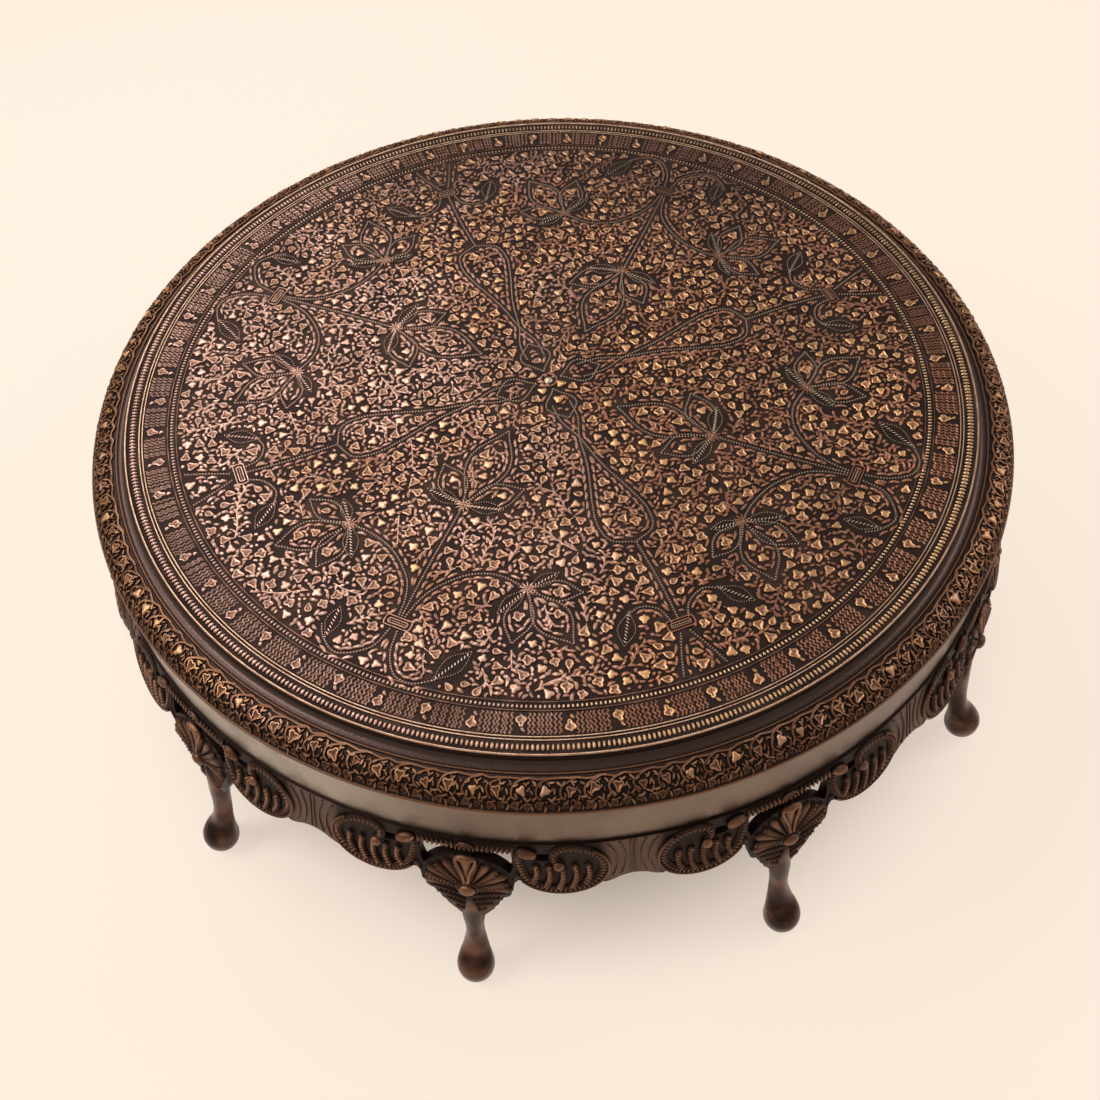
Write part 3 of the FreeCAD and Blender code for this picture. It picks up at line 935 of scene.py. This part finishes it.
def vineMotif(draw, shapes):
    # one length of the vine, worked flat, with a fresh set of small differences
    heart, domedHeart, floret, berry, leaf, lip = shapes
    motif = bmesh.new()
    for x, y, size, turn in moulding["hearts"]:
        spot = nudged(draw, x, y, moulding["heartNudge"])
        shape = draw.choice((heart, heart, domedHeart))
        lean = turn + draw.uniform(-0.7, 0.7)
        stamp(motif, shape, place(*spot, 0, lean, size * draw.uniform(0.8, 1.08)))
    for x, y, size, turn in moulding["florets"]:
        spot = nudged(draw, x, y, moulding["floretNudge"])
        lean = turn + draw.uniform(-0.8, 0.8)
        stamp(motif, floret, place(*spot, 0, lean, size * draw.uniform(0.85, 1.2)))
    for x, y in moulding["berries"]:
        stamp(motif, berry, place(*nudged(draw, x, y, moulding["markNudge"]), 0))
    for x, y, turn in moulding["hatches"]:
        spot = nudged(draw, x, y, moulding["markNudge"])
        lean = turn + draw.uniform(-0.5, 0.5)
        stamp(motif, leaf, place(*spot, 0, lean, draw.uniform(0.8, 1.1)))
    for stem in moulding["stems"]:
        worked = [nudged(draw, x, y, moulding["stemNudge"]) for x, y in stem[1:-1]]
        path = smoothPath([stem[0]] + worked + [stem[-1]], steps=4)
        cords(motif, [path], 0.72, 0.1, draw.uniform(0.8, 1.35))
    for k in range(moulding["lipBeads"]):
        x = (k + 0.5) * moulding["period"] / moulding["lipBeads"]
        stamp(motif, lip, place(x, 0.5, 0.3, 0, 1.0, 0.7, 1.0))
    return motif


def mouldingVine():
    draw = random.Random(moulding["seed"])
    length = 2 * bandHalf * bandRadius
    radius = mouldingRadius - moulding["setIn"]
    pitch = 2 * math.pi * radius / moulding["motifs"]
    shapes = (
        blossom(heartLobes, 1.5, 1.12), blossom(heartLobes, 1.5, 1.05, domed), blossom(clubLobes, 1.2, 1.12),
        button(6, 0.95, 0.6, 0.9), stroke(4.4, 1.35, 1.1, 0.5), button(6, 1.25, 0.8, 0.7),
    )
    parts = [bmesh.new() for part in range(moulding["parts"])]
    for index, start in enumerate(turns(moulding["motifs"])):
        motif = vineMotif(draw, shapes)
        for vert in motif.verts:
            spot = onBand(vert.co.y / length, vert.co.z)
            turn = vert.co.x / moulding["period"] * pitch / radius + start
            vert.co = (*around(spot.x, turn), spot.y)
        part = parts[index * moulding["parts"] // moulding["motifs"]]
        stamp(part, template(motif), Matrix.Identity(4))
    for index, part in enumerate(parts):
        piece("moulding_vine_%d" % (index + 1), part, mouldingMetal)


def mouldingMaterial():
    # dark in the cove and hollows, worn copper and gilt where the band stands up, with the crests of its
    # upper half painted brighter as if lit from above
    sheet = Sheet("moulding metal")
    where = sheet.places()
    x, y, z = sheet.split(where)
    out = sheet.radius(where) / mm - bandCentre.x
    up = z / mm - bandCentre.y
    flat = sheet.node("ShaderNodeCombineXYZ", {}, {"X": out, "Y": up})
    away = sheet.node("ShaderNodeVectorMath", {"operation": "LENGTH"}, {0: flat}, "Value") - bandRadius
    height = sheet.step(away, 0.2, 0.8)
    crest = sheet.step(away, 0.75, 1.3)
    # painted light: crests on the upper half of the band turn gilt, those lower down keep more of the body
    # colour
    paintedLitUpper = sheet.step(up, 5.5, 10.5)
    patches = sheet.step(sheet.noise(where, 30.0), 0.36, 0.64)
    worn = sheet.blend(patches, tones["mouldGold"], tones["mouldRose"])
    worn = sheet.blend(crest * (paintedLitUpper * 0.7 + 0.3), tones["mouldBody"], worn)
    colour = sheet.blend(height, tones["ground"], worn)
    inCove = sheet.step(out, -2.3, -3.0)
    colour = sheet.blend(inCove, colour, tones["coveDark"])
    grain = sheet.noise(where, 900.0, 3.0)
    return sheet.finish(
        colour=colour, rough=0.4 - inCove * 0.06 + sheet.noise(where, 240.0) * 0.1,
        metal=0.86, normal=sheet.bump(grain, 0.0002, 0.7),
    )


mouldingMetal = mouldingMaterial()
mouldingBody()
mouldingVine()

# The legs: one casting is made flat, as distance across, height and rise off the wall, and
# is then bent round the drum

leg = {
    "wallTop": 0.2, "wallSpread": 7.0, "spreadDepth": 32.0, "thickness": 5.0, "stripWidth": 4.0,
    "railDepth": 5.5, "shellGap": 0.6,
    "scroll": (41.5, 99.5), "scrollWide": 20.3, "scrollHigh": 16.4,
    "neck": [(71.9, 115), (71.9, 91.6), (69.3, 91.3), (66.2, 90.4), (62.6, 88.4), (59.6, 87.4)],
    "side": [
        (22.4, 90.2), (20.8, 88.2), (20.3, 85.6), (20.0, 82.2), (18.7, 79.8), (18.9, 77.2), (17.6, 74.8),
        (15.4, 73.2), (14.8, 70.6), (13.4, 68.4), (12.7, 64.8), (11.0, 61.8), (10.2, 58.6), (8.0, 54.6),
        (5.8, 50.4), (3.9, 46.6), (2.4, 42.4), (1.0, 38.4),
    ],
    "boss": (0, 81.0), "shellRadius": 22.4, "smoothFlutes": (26, 53, 79), "beadedFlutes": (12.5, 40, 66.5),
    "eye": (33.5, 106.6), "eyeSize": (5.2, 2.5),
    "curl": [
        (24.6, 111.6), (22.6, 106.6), (23.9, 99.5), (26.4, 92.6), (33.0, 86.9), (41.5, 85.5), (50.2, 87.0),
        (56.6, 92.4), (59.2, 99.5), (57.0, 106.8), (50.8, 112.0), (43.6, 113.4), (38.6, 111.0),
        (37.8, 106.6), (39.6, 103.4),
    ],
    "curlCord": (2.0, 0.35, 0.4, 2), "curlTickPitch": 2.1, "curlBall": (39.9, 102.8),
    "scrollRim": (19.9, 15.9, -150, 50, 24), "rimCord": (0.7, 0.75, 1.6, 2), "scrollLeaf": (26.4, 110.9),
    "leafTicks": ((23.4, 111.9, 1.9), (25.2, 111.3, 2.5), (27.0, 110.7, 2.6), (28.8, 110.0, 2.1)),
    "gadroons": (29.6, 35.2, 40.8, 46.4, 52.0), "gadroonCord": (1.5, 0.0, 1.05, 2), "gadroonTickPitch": 1.8,
    "neckLines": [
        ((60.9, 113.6), (64.2, 107), (65.0, 99), (62.9, 91.0)),
        ((66.2, 114.2), (68.3, 106), (68.4, 98.6), (66.6, 92.0)),
        ((70.9, 114.4), (71.1, 103), (70.9, 92.6)),
    ],
    "neckCord": (0.5, 0.1, 1.3), "bossRim": (4.7, 4.3, 0, 360, 20), "bossCord": (0.42, 0.9, 1.0),
    "fold": [
        (-0.7, 88), (-1.9, 95), (-4.3, 102.8), (-3.2, 105.4), (0, 106.2), (3.4, 105.4), (4.4, 102.8),
        (1.9, 95), (0.7, 88),
    ],
    "foldCord": (0.75, 2.0, 1.1, 2), "rail": ((-21.0, 112.3), (21.0, 112.3)), "railCord": (2.6, 0.0, 0.5, 2),
    "ripples": 8, "ripplePitch": 2.1, "rosette": (0, 111.0), "rosetteCord": (0.5, 1.3, 1.2),
    "ribs": [(73.0, 17.0, 23), (66.4, 14.4, 30), (60.2, 11.2, 37), (54.4, 7.8, 45)],
    "foot": [
        (0, 244.6, 3.6, 3.6), (0.6, 244.6, 5.2, 5.2), (1.8, 244.6, 6.9, 6.9), (3.4, 244.6, 8.1, 8.1),
        (5.4, 244.6, 8.8, 8.8), (7.6, 244.6, 9.1, 9.1), (9.8, 244.6, 9.1, 9.1), (12.0, 244.45, 8.75, 8.95),
        (14.0, 243.8, 8.3, 8.5), (15.8, 243.0, 7.65, 8.05), (17.4, 242.0, 6.8, 7.5), (18.8, 241.0, 5.95, 7.0),
        (20.6, 240.05, 5.25, 6.5), (23.2, 239.3, 4.9, 5.95), (26.4, 238.4, 4.8, 5.3),
        (30.0, 237.5, 4.8, 4.65), (34.0, 236.8, 4.8, 4.25), (38.0, 236.2, 4.8, 4.4),
        (43.0, 235.6, 4.8, 4.9), (48.0, 235.0, 4.8, 5.4),
        (53.0, 234.4, 4.7, 5.0), (59.0, 234.4, 4.1, 3.8), (67.0, 234.4, 3.0, 2.7), (74.0, 234.4, 1.65, 1.5),
        (76.0, 234.4, 0.3, 0.3),
    ],
    "footSides": 32, "lug": (209.5, 38.0, 3.5), "lugOuter": 3.8,
}


def wallRadius(height):
    share = min(1.0, max(0.0, (drumBottom - height) / leg["spreadDepth"]))
    return mouldingRadius + leg["wallTop"] + leg["wallSpread"] * share


def swell(along):
    return (0.2 + 0.8 * along) * math.sqrt(max(0.0, 1 - max(0.0, along - 0.8) ** 2 * 25))


def flutePetal():
    # a flute of unit length and half width that widens outwards to a round end
    bm = bmesh.new()
    bmesh.ops.create_grid(bm, x_segments=8, y_segments=4, size=0.5)
    for vert in bm.verts:
        along, side = vert.co.x + 0.5, vert.co.y * 2
        vert.co = (along, side * swell(along), (1 - side * side) * (0.35 + 0.65 * swell(along)) - 0.12)
    return template(bm)


def beaded(bm, flute, bead, start, turn, length, width, height, beads):
    stamp(bm, flute, place(start[0], start[1], 0, turn, length, width, height))
    for index in range(beads):
        share = (index + 0.6) / beads
        x = start[0] + math.cos(turn) * length * share
        y = start[1] + math.sin(turn) * length * share
        rise = height * (0.23 + 0.65 * swell(share)) - 0.2
        stamp(bm, bead, place(x, y, rise, turn, 0.62, width * (0.35 + 0.4 * share), 0.65))


def mirrored(points):
    return [(-x, y) for x, y in reversed(points)]


def ellipse(middle, wide, high, first, last, steps):
    points = []
    for k in range(steps + 1):
        turn = math.radians(first + (last - first) * k / steps)
        points.append(Vector((middle[0] + wide * math.cos(turn), middle[1] + high * math.sin(turn))))
    return points


def castingPlate(bm):
    # the flat wall with its holes, cut into strips so that it can be bent
    half = leg["neck"] + ellipse(leg["scroll"], leg["scrollWide"], leg["scrollHigh"], -42, -140, 12)
    half += leg["side"]
    top = drumBottom - leg["railDepth"]
    reach = leg["shellRadius"] + leg["shellGap"]
    hole = [(20.4, 99.0), (19.6, top), (2.4, top)]
    for k in range(8):
        turn = math.radians(6 + 49 * k / 7)
        hole.append((reach * math.sin(turn), leg["boss"][1] + reach * math.cos(turn)))
    eye = ellipse(leg["eye"], *leg["eyeSize"], 0, 330, 11)
    curve = bpy.data.curves.new("plate", "CURVE")
    curve.dimensions = "2D"
    curve.fill_mode = "BOTH"
    curve.extrude = leg["thickness"] / 2
    for points in (half + mirrored(half), hole, mirrored(hole), eye, mirrored(eye)):
        spline = curve.splines.new("POLY")
        spline.use_cyclic_u = True
        spline.points.add(len(points) - 1)
        for point, (x, y) in zip(spline.points, points):
            point.co = (x, y, 0, 1)
    addCurve(bm, curve, Matrix.Translation((0, 0, -leg["thickness"] / 2)))
    bmesh.ops.remove_doubles(bm, verts=bm.verts, dist=0.002)
    cuts = [((k * leg["stripWidth"], 0, 0), (1, 0, 0)) for k in range(-17, 18)]
    for spot, facing in cuts + [((0, drumBottom - leg["spreadDepth"], 0), (0, 1, 0))]:
        geometry = bm.verts[:] + bm.edges[:] + bm.faces[:]
        bmesh.ops.bisect_plane(bm, geom=geometry, plane_co=spot, plane_no=facing)
    bmesh.ops.recalc_face_normals(bm, faces=bm.faces)


def flipped(points, side):
    return [Vector((side * point[0], point[1])) for point in points]


def scrollRelief(bm, ball, tick, side):
    # a ticked curl inside a raised rim, with gadroons that fill it
    curl = smoothPath(flipped(leg["curl"], side), steps=5)
    cords(bm, [curl], *leg["curlCord"])
    for point, turn in walk(curl, leg["curlTickPitch"]):
        stamp(bm, tick, place(point.x, point.y, 0.85, turn + math.pi / 2, 0.98, 1.3, 1.05))
    middle = leg["scroll"]
    rim = [point for point in ellipse(middle, *leg["scrollRim"]) if point.y < drumBottom - 0.5]
    cords(bm, [flipped(rim, side)], *leg["rimCord"])
    x, y = leg["scrollLeaf"]
    stamp(bm, ball, place(side * x, y, 1.0, -side * 0.35, 4.6, 2.5, 2.3))
    for x, y, rise in leg["leafTicks"]:
        stamp(bm, tick, place(side * x, y, rise, side * (0.9 - math.pi / 2), 1.1, 1.0, 1.0))
    x, y = leg["curlBall"]
    stamp(bm, ball, place(side * x, y, 1.5, 0, 2.5, 2.4, 1.9))
    for x in leg["gadroons"]:
        reach = math.sqrt(1 - ((x - middle[0]) / 16.2) ** 2)
        low, high = middle[1] - 13.0 * reach, min(102.0, middle[1] + 6.0 * reach)
        points = [
            (x - 1.0, low), (x + 0.8, low * 0.6 + high * 0.4), (x + 0.9, low * 0.2 + high * 0.8), (x, high),
        ]
        path = smoothPath(flipped(points, side), steps=5)
        cords(bm, [path], *leg["gadroonCord"])
        for point, turn in walk(path, leg["gadroonTickPitch"]):
            stamp(bm, tick, place(point.x, point.y, 1.15, turn + math.pi / 2 + 0.2, 0.95, 1.1, 1.25))


def neckRelief(bm, side):
    lines = [smoothPath(flipped(points, side), steps=5) for points in leg["neckLines"]]
    cords(bm, lines, *leg["neckCord"])


def shellRelief(bm, ball, bead):
    # smooth and beaded flutes round the boss, ribs on the spine and a folded leaf above
    flute = flutePetal()
    boss = Vector(leg["boss"])
    for side in (1, -1):
        for tilt in leg["smoothFlutes"] + leg["beadedFlutes"]:
            turn = math.radians(90 - side * tilt)
            inner = boss + Vector((math.cos(turn), math.sin(turn))) * 4.4
            length = leg["shellRadius"] - 4.6 - max(0, tilt - 50) * 0.085
            if tilt in leg["smoothFlutes"]:
                stamp(bm, flute, place(inner.x, inner.y, 0.2, turn, length, 3.3, 2.5))
            else:
                beaded(bm, flute, bead, inner, turn, length * 0.93, 1.9, 2.9, 9)
        for low, length, slope in leg["ribs"]:
            turn = math.radians(slope if side > 0 else 180 - slope)
            beaded(bm, flute, bead, (side * 1.4, low), turn, length, 2.3, 1.9, 8)
        lean = 1.15 if side > 0 else math.pi - 1.15
        stamp(bm, flute, place(side * 19.8, 89.4, 0.0, lean, 6.4, 2.0, 1.8))
    stamp(bm, ball, place(boss.x, boss.y, 1.4, 0, 3.9, 3.5, 2.6))
    cords(bm, [ellipse(boss, *leg["bossRim"])], *leg["bossCord"])
    stamp(bm, flute, place(0, 86.0, 0.6, math.pi / 2, 18.5, 4.6, 2.4))
    cords(bm, [smoothPath(leg["fold"], steps=4)], *leg["foldCord"])
    stamp(bm, ball, place(0.1, 105.2, 2.2, 0, 4.4, 1.5, 1.6))


def railRelief(bm, bead):
    # the rippled top rail and the small rosette in the middle of it
    ripple = stroke(5.0, 1.7, 1.0, 0.9)
    cords(bm, [[Vector(end) for end in leg["rail"]]], *leg["railCord"])
    for side in (1, -1):
        for index in range(leg["ripples"]):
            x = side * (5.4 + index * leg["ripplePitch"])
            stamp(bm, ripple, place(x, 112.25, 1.0, math.pi / 2, 1.0, -side))
    rosette = leg["rosette"]
    arcs = [ellipse(rosette, 3.9, 3.6, -10, 190, 14), ellipse(rosette, 2.3, 2.2, -20, 200, 12)]
    cords(bm, arcs, *leg["rosetteCord"])
    stamp(bm, bead, place(0, 111.2, 1.1, 0, 1.1))


def castingRelief(bm):
    bead = button(6, 1.0, 0.55, 1.0)
    tick = stroke(3.4, 1.1, 0.9, 0.0)
    ball = bmesh.new()
    bmesh.ops.create_icosphere(ball, subdivisions=3, radius=1.0)
    ball = template(ball)
    for side in (1, -1):
        scrollRelief(bm, ball, tick, side)
        neckRelief(bm, side)
    shellRelief(bm, ball, bead)
    railRelief(bm, bead)


def footShape(bm):
    # rings of height, middle, depth and width, skinned from the floor up into the wall
    rings = []
    for height, middle, deep, wide in leg["foot"]:
        spots = [
            (middle + deep * math.cos(turn), wide * math.sin(turn), height)
            for turn in turns(leg["footSides"])
        ]
        rings.append([bm.verts.new(spot) for spot in spots])
    for low, high in zip(rings, rings[1:]):
        for k in range(leg["footSides"]):
            bm.faces.new((low[k - 1], low[k], high[k], high[k - 1]))
    bm.faces.new(reversed(rings[0]))
    bm.faces.new(rings[-1])


def addLug(bm):
    # the nailing lug behind the wall, under the drum
    inner, half, depth = leg["lug"]
    outer = mouldingRadius - leg["lugOuter"]
    lug = bmesh.new()
    bmesh.ops.create_cube(lug, size=1.0)
    bmesh.ops.scale(lug, verts=lug.verts, vec=(outer - inner, half * 2, depth))
    bmesh.ops.bevel(lug, geom=lug.edges[:], offset=0.6, segments=2, affect="EDGES", profile=0.5, material=-1)
    bmesh.ops.translate(lug, verts=lug.verts, vec=((outer + inner) / 2, 0, drumBottom - depth / 2))
    stamp(bm, template(lug), Matrix.Identity(4))


def castingPieces():
    bm = bmesh.new()
    castingPlate(bm)
    castingRelief(bm)
    for vert in bm.verts:
        across, height, rise = vert.co
        vert.co = (*around(wallRadius(height) + rise, across / mouldingRadius), height)
    footShape(bm)
    addLug(bm)
    casting = template(bm)
    for index in range(legCount):
        copy = bmesh.new()
        stamp(copy, casting, Matrix.Rotation(2 * math.pi * index / legCount, 4, "Z"))
        name = "leg_casting_%02d" % (index + 1)
        piece("dressed_" + name, copy, castMetal, [name])


def castMaterial():
    # dark in the hollows, coppery where hands and cloths wear it
    sheet = Sheet("antiqued casting")
    where = sheet.places()
    x, y, z = sheet.split(where)
    wallTop = mouldingRadius + leg["wallTop"]
    values = {
        "Value": z / mm, "From Min": drumBottom, "From Max": drumBottom - leg["spreadDepth"],
        "To Min": wallTop, "To Max": wallTop + leg["wallSpread"],
    }
    wall = sheet.node("ShaderNodeMapRange", {}, values)
    rise = sheet.radius(where) / mm - wall
    patches = sheet.step(sheet.noise(where, 60.0, 4.0), 0.35, 0.7)
    worn = sheet.blend(patches, tones["castWarm"], tones["castWorn"])
    height = sheet.step(rise, 0.5, 2.5)
    bay = x.math("COSINE", x.math("ARCTAN2", y, x) * legCount)
    neck = sheet.step(bay, -0.8, -0.93)
    low = sheet.blend(neck * sheet.step(rise, -0.6, -0.1), tones["castDark"], tones["castNeck"])
    colour = sheet.blend(height, low, worn)
    patina = sheet.step(sheet.noise(where, 70.0, 4.0), 0.36, 0.68) * 0.7
    foot = sheet.blend(patina, tones["castDark"], tones["footCopper"])
    onFoot = sheet.step(z / mm, 66.0, 56.0)
    colour = sheet.blend(onFoot, colour, foot)
    grain = sheet.noise(where, 700.0, 5.0, 0.6)
    rough = 0.48 - height * 0.14 - onFoot * 0.19 + sheet.noise(where, 180.0, 4.0) * 0.16
    return sheet.finish(colour=colour, rough=rough, metal=0.78, normal=sheet.bump(grain, 0.00035, 0.7))


castMetal = castMaterial()
castingPieces()

# The fascia, the wooden core and the nails keep their own solids and take finishes


# the turn round the drum where the painted reflection on the fascia is palest
fascia = {"paintedSheenTurn": -2.62}


def satinMaterial():
    # faint rubbing round the drum, a few dull stains, a warmer band along the top edge, a darker band along
    # the bottom edge, and a painted sheen round one side of the drum that stands in for a reflection
    sheet = Sheet("satin fascia")
    where = sheet.places()
    x, y, z = sheet.split(where)
    angle = x.math("ARCTAN2", y, x)
    along = sheet.node("ShaderNodeCombineXYZ", {}, {"X": angle * 0.6, "Y": z * 40.0})
    rubbed = sheet.noise(along, 22.0, 4.0, 0.6)
    stains = sheet.step(sheet.noise(where, 26.0, 5.0, 0.6), 0.46, 0.66)
    edge = sheet.step(z / mm, deckHeight - 5.0, deckHeight - 1.0)
    # painted reflection: the band turns paler round the left-front of the drum, as if it mirrored the bright
    # floor there
    sheenFacing = x.math("COSINE", angle - fascia["paintedSheenTurn"])
    satinWithSheen = sheet.blend(sheet.step(sheenFacing, 0.72, 0.97), tones["satin"], tones["satinSheen"])
    colour = sheet.blend(stains * 0.7, satinWithSheen, tones["satinDark"])
    colour = sheet.blend(edge * 0.55, colour, tones["castWarm"])
    foot = sheet.step(z / mm, drumBottom + 5.0, drumBottom + 0.5)
    colour = sheet.blend(foot * 0.6, colour, tones["satinDark"])
    return sheet.finish(
        colour=colour, rough=0.3 + rubbed * 0.14, metal=0.85, normal=sheet.bump(rubbed, 0.0001, 0.35),
    )


def woodMaterial():
    sheet = Sheet("sawn core wood")
    where = sheet.places()
    values = {"Scale": (14.0, 1.2, 14.0), "Vector": where}
    stretched = sheet.node("ShaderNodeMapping", {}, values, "Vector")
    grain = sheet.noise(stretched, 14.0, 6.0, 0.6)
    fine = sheet.noise(stretched, 90.0, 3.0)
    colour = sheet.blend(sheet.step(grain, 0.35, 0.65), tones["woodDark"], tones["woodPale"])
    colour = sheet.blend(fine * 0.35, colour, tones["woodFleck"])
    rough = 0.75 + fine * 0.12
    return sheet.finish(colour=colour, rough=rough, normal=sheet.bump(grain + fine * 0.5, 0.0005, 0.6))


def ironMaterial():
    sheet = Sheet("forged iron")
    where = sheet.places()
    scale = sheet.noise(where, 500.0, 5.0, 0.65)
    colour = sheet.blend(sheet.step(scale, 0.4, 0.7), tones["iron"], tones["ironRust"])
    rough = 0.5 + scale * 0.2
    return sheet.finish(colour=colour, rough=rough, metal=0.8, normal=sheet.bump(scale, 0.0004, 0.8))


satinMetal, coreWood, forgedIron = satinMaterial(), woodMaterial(), ironMaterial()
for name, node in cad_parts.items():
    finish = None
    if name.startswith(("core_plank", "drum_block")):
        finish = coreWood
    elif name in ("leg_nails", "seam_tacks"):
        finish = forgedIron
    elif name == "fascia_band":
        finish = satinMetal
    if finish:
        node.data.materials.clear()
        node.data.materials.append(finish)

# Floor, lights and camera

studio = {
    "floorTone": (254, 238, 222), "floorShare": 0.86, "worldStrength": 0.4, "litHeight": 0.08,
    "key": ((-1.2, 0.0, 1.4), 0.9, 16.0), "back": ((-0.36, 0.86, 1.35), 0.9, 10.5),
    "side": ((1.4, 0.2, 1.1), 0.9, 7.0), "eye": (-0.05513, -0.46236, 0.64218),
    "aim": (-0.01531, -0.10545, 0.16), "roll": -2.931, "lens": 43.53,
}


def makeFloor():
    bm = bmesh.new()
    bmesh.ops.create_grid(bm, x_segments=8, y_segments=8, size=6.0)
    mesh = bpy.data.meshes.new("floor")
    bm.to_mesh(mesh)
    bm.free()
    floor = bpy.data.objects.new("floor", mesh)
    scene.collection.objects.link(floor)
    sheet = Sheet("pale floor")
    tone = toLinear(*studio["floorTone"])
    sheet.finish(colour=tone, rough=0.9)
    glow = sheet.node("ShaderNodeEmission", {}, {"Color": tone, "Strength": 1.0})
    seen = sheet.node("ShaderNodeLightPath", {}, {}, "Is Camera Ray")
    mirrored = sheet.node("ShaderNodeLightPath", {}, {}, "Is Glossy Ray")
    shading = Wire(sheet, sheet.shader.outputs[0])
    away = sheet.radius(sheet.places())
    clear = sheet.step(away, 0.17, 0.27, 0.25, 1.0)
    far = sheet.step(away, 0.45, 1.1, studio["floorShare"], 1.0)
    share = (seen + mirrored) * clear * far
    mixed = sheet.node("ShaderNodeMixShader", {}, {0: share, 1: shading, 2: glow})
    sheet.join(mixed, sheet.tree.nodes["Material Output"].inputs["Surface"])
    mesh.materials.append(sheet.material)


def makeLights():
    for name in ("key", "back", "side"):
        where, size, power = studio[name]
        light = bpy.data.lights.new(name, "AREA")
        light.shape = "DISK"
        light.size = size
        light.energy = power
        lamp = bpy.data.objects.new(name, light)
        lamp.location = where
        aim = Vector((0, 0, studio["litHeight"])) - Vector(where)
        lamp.rotation_euler = aim.to_track_quat("-Z", "Y").to_euler()
        scene.collection.objects.link(lamp)
    world = bpy.data.worlds.new("studio")
    world.use_nodes = True
    nodes, links = world.node_tree.nodes, world.node_tree.links
    seen, backdrop = nodes.new("ShaderNodeLightPath"), nodes.new("ShaderNodeBackground")
    mix = nodes.new("ShaderNodeMixShader")
    nodes["Background"].inputs["Color"].default_value = (1.0, 0.96, 0.92, 1.0)
    nodes["Background"].inputs["Strength"].default_value = studio["worldStrength"]
    backdrop.inputs["Color"].default_value = toLinear(*studio["floorTone"])
    links.new(seen.outputs["Is Camera Ray"], mix.inputs[0])
    links.new(nodes["Background"].outputs[0], mix.inputs[1])
    links.new(backdrop.outputs[0], mix.inputs[2])
    links.new(mix.outputs[0], nodes["World Output"].inputs["Surface"])
    scene.world = world


def makeCamera():
    lens = bpy.data.cameras.new("camera")
    lens.lens = studio["lens"]
    lens.sensor_width = 36.0
    lens.clip_start = 0.01
    camera = bpy.data.objects.new("camera", lens)
    eye, aim = Vector(studio["eye"]), Vector(studio["aim"])
    turn = (aim - eye).to_track_quat("-Z", "Y").to_matrix().to_4x4()
    roll = Matrix.Rotation(math.radians(studio["roll"]), 4, "Z")
    camera.matrix_world = Matrix.Translation(eye) @ turn @ roll
    scene.collection.objects.link(camera)
    scene.camera = camera


makeFloor()
makeLights()
makeCamera()
scene.view_settings.view_transform = "Standard"
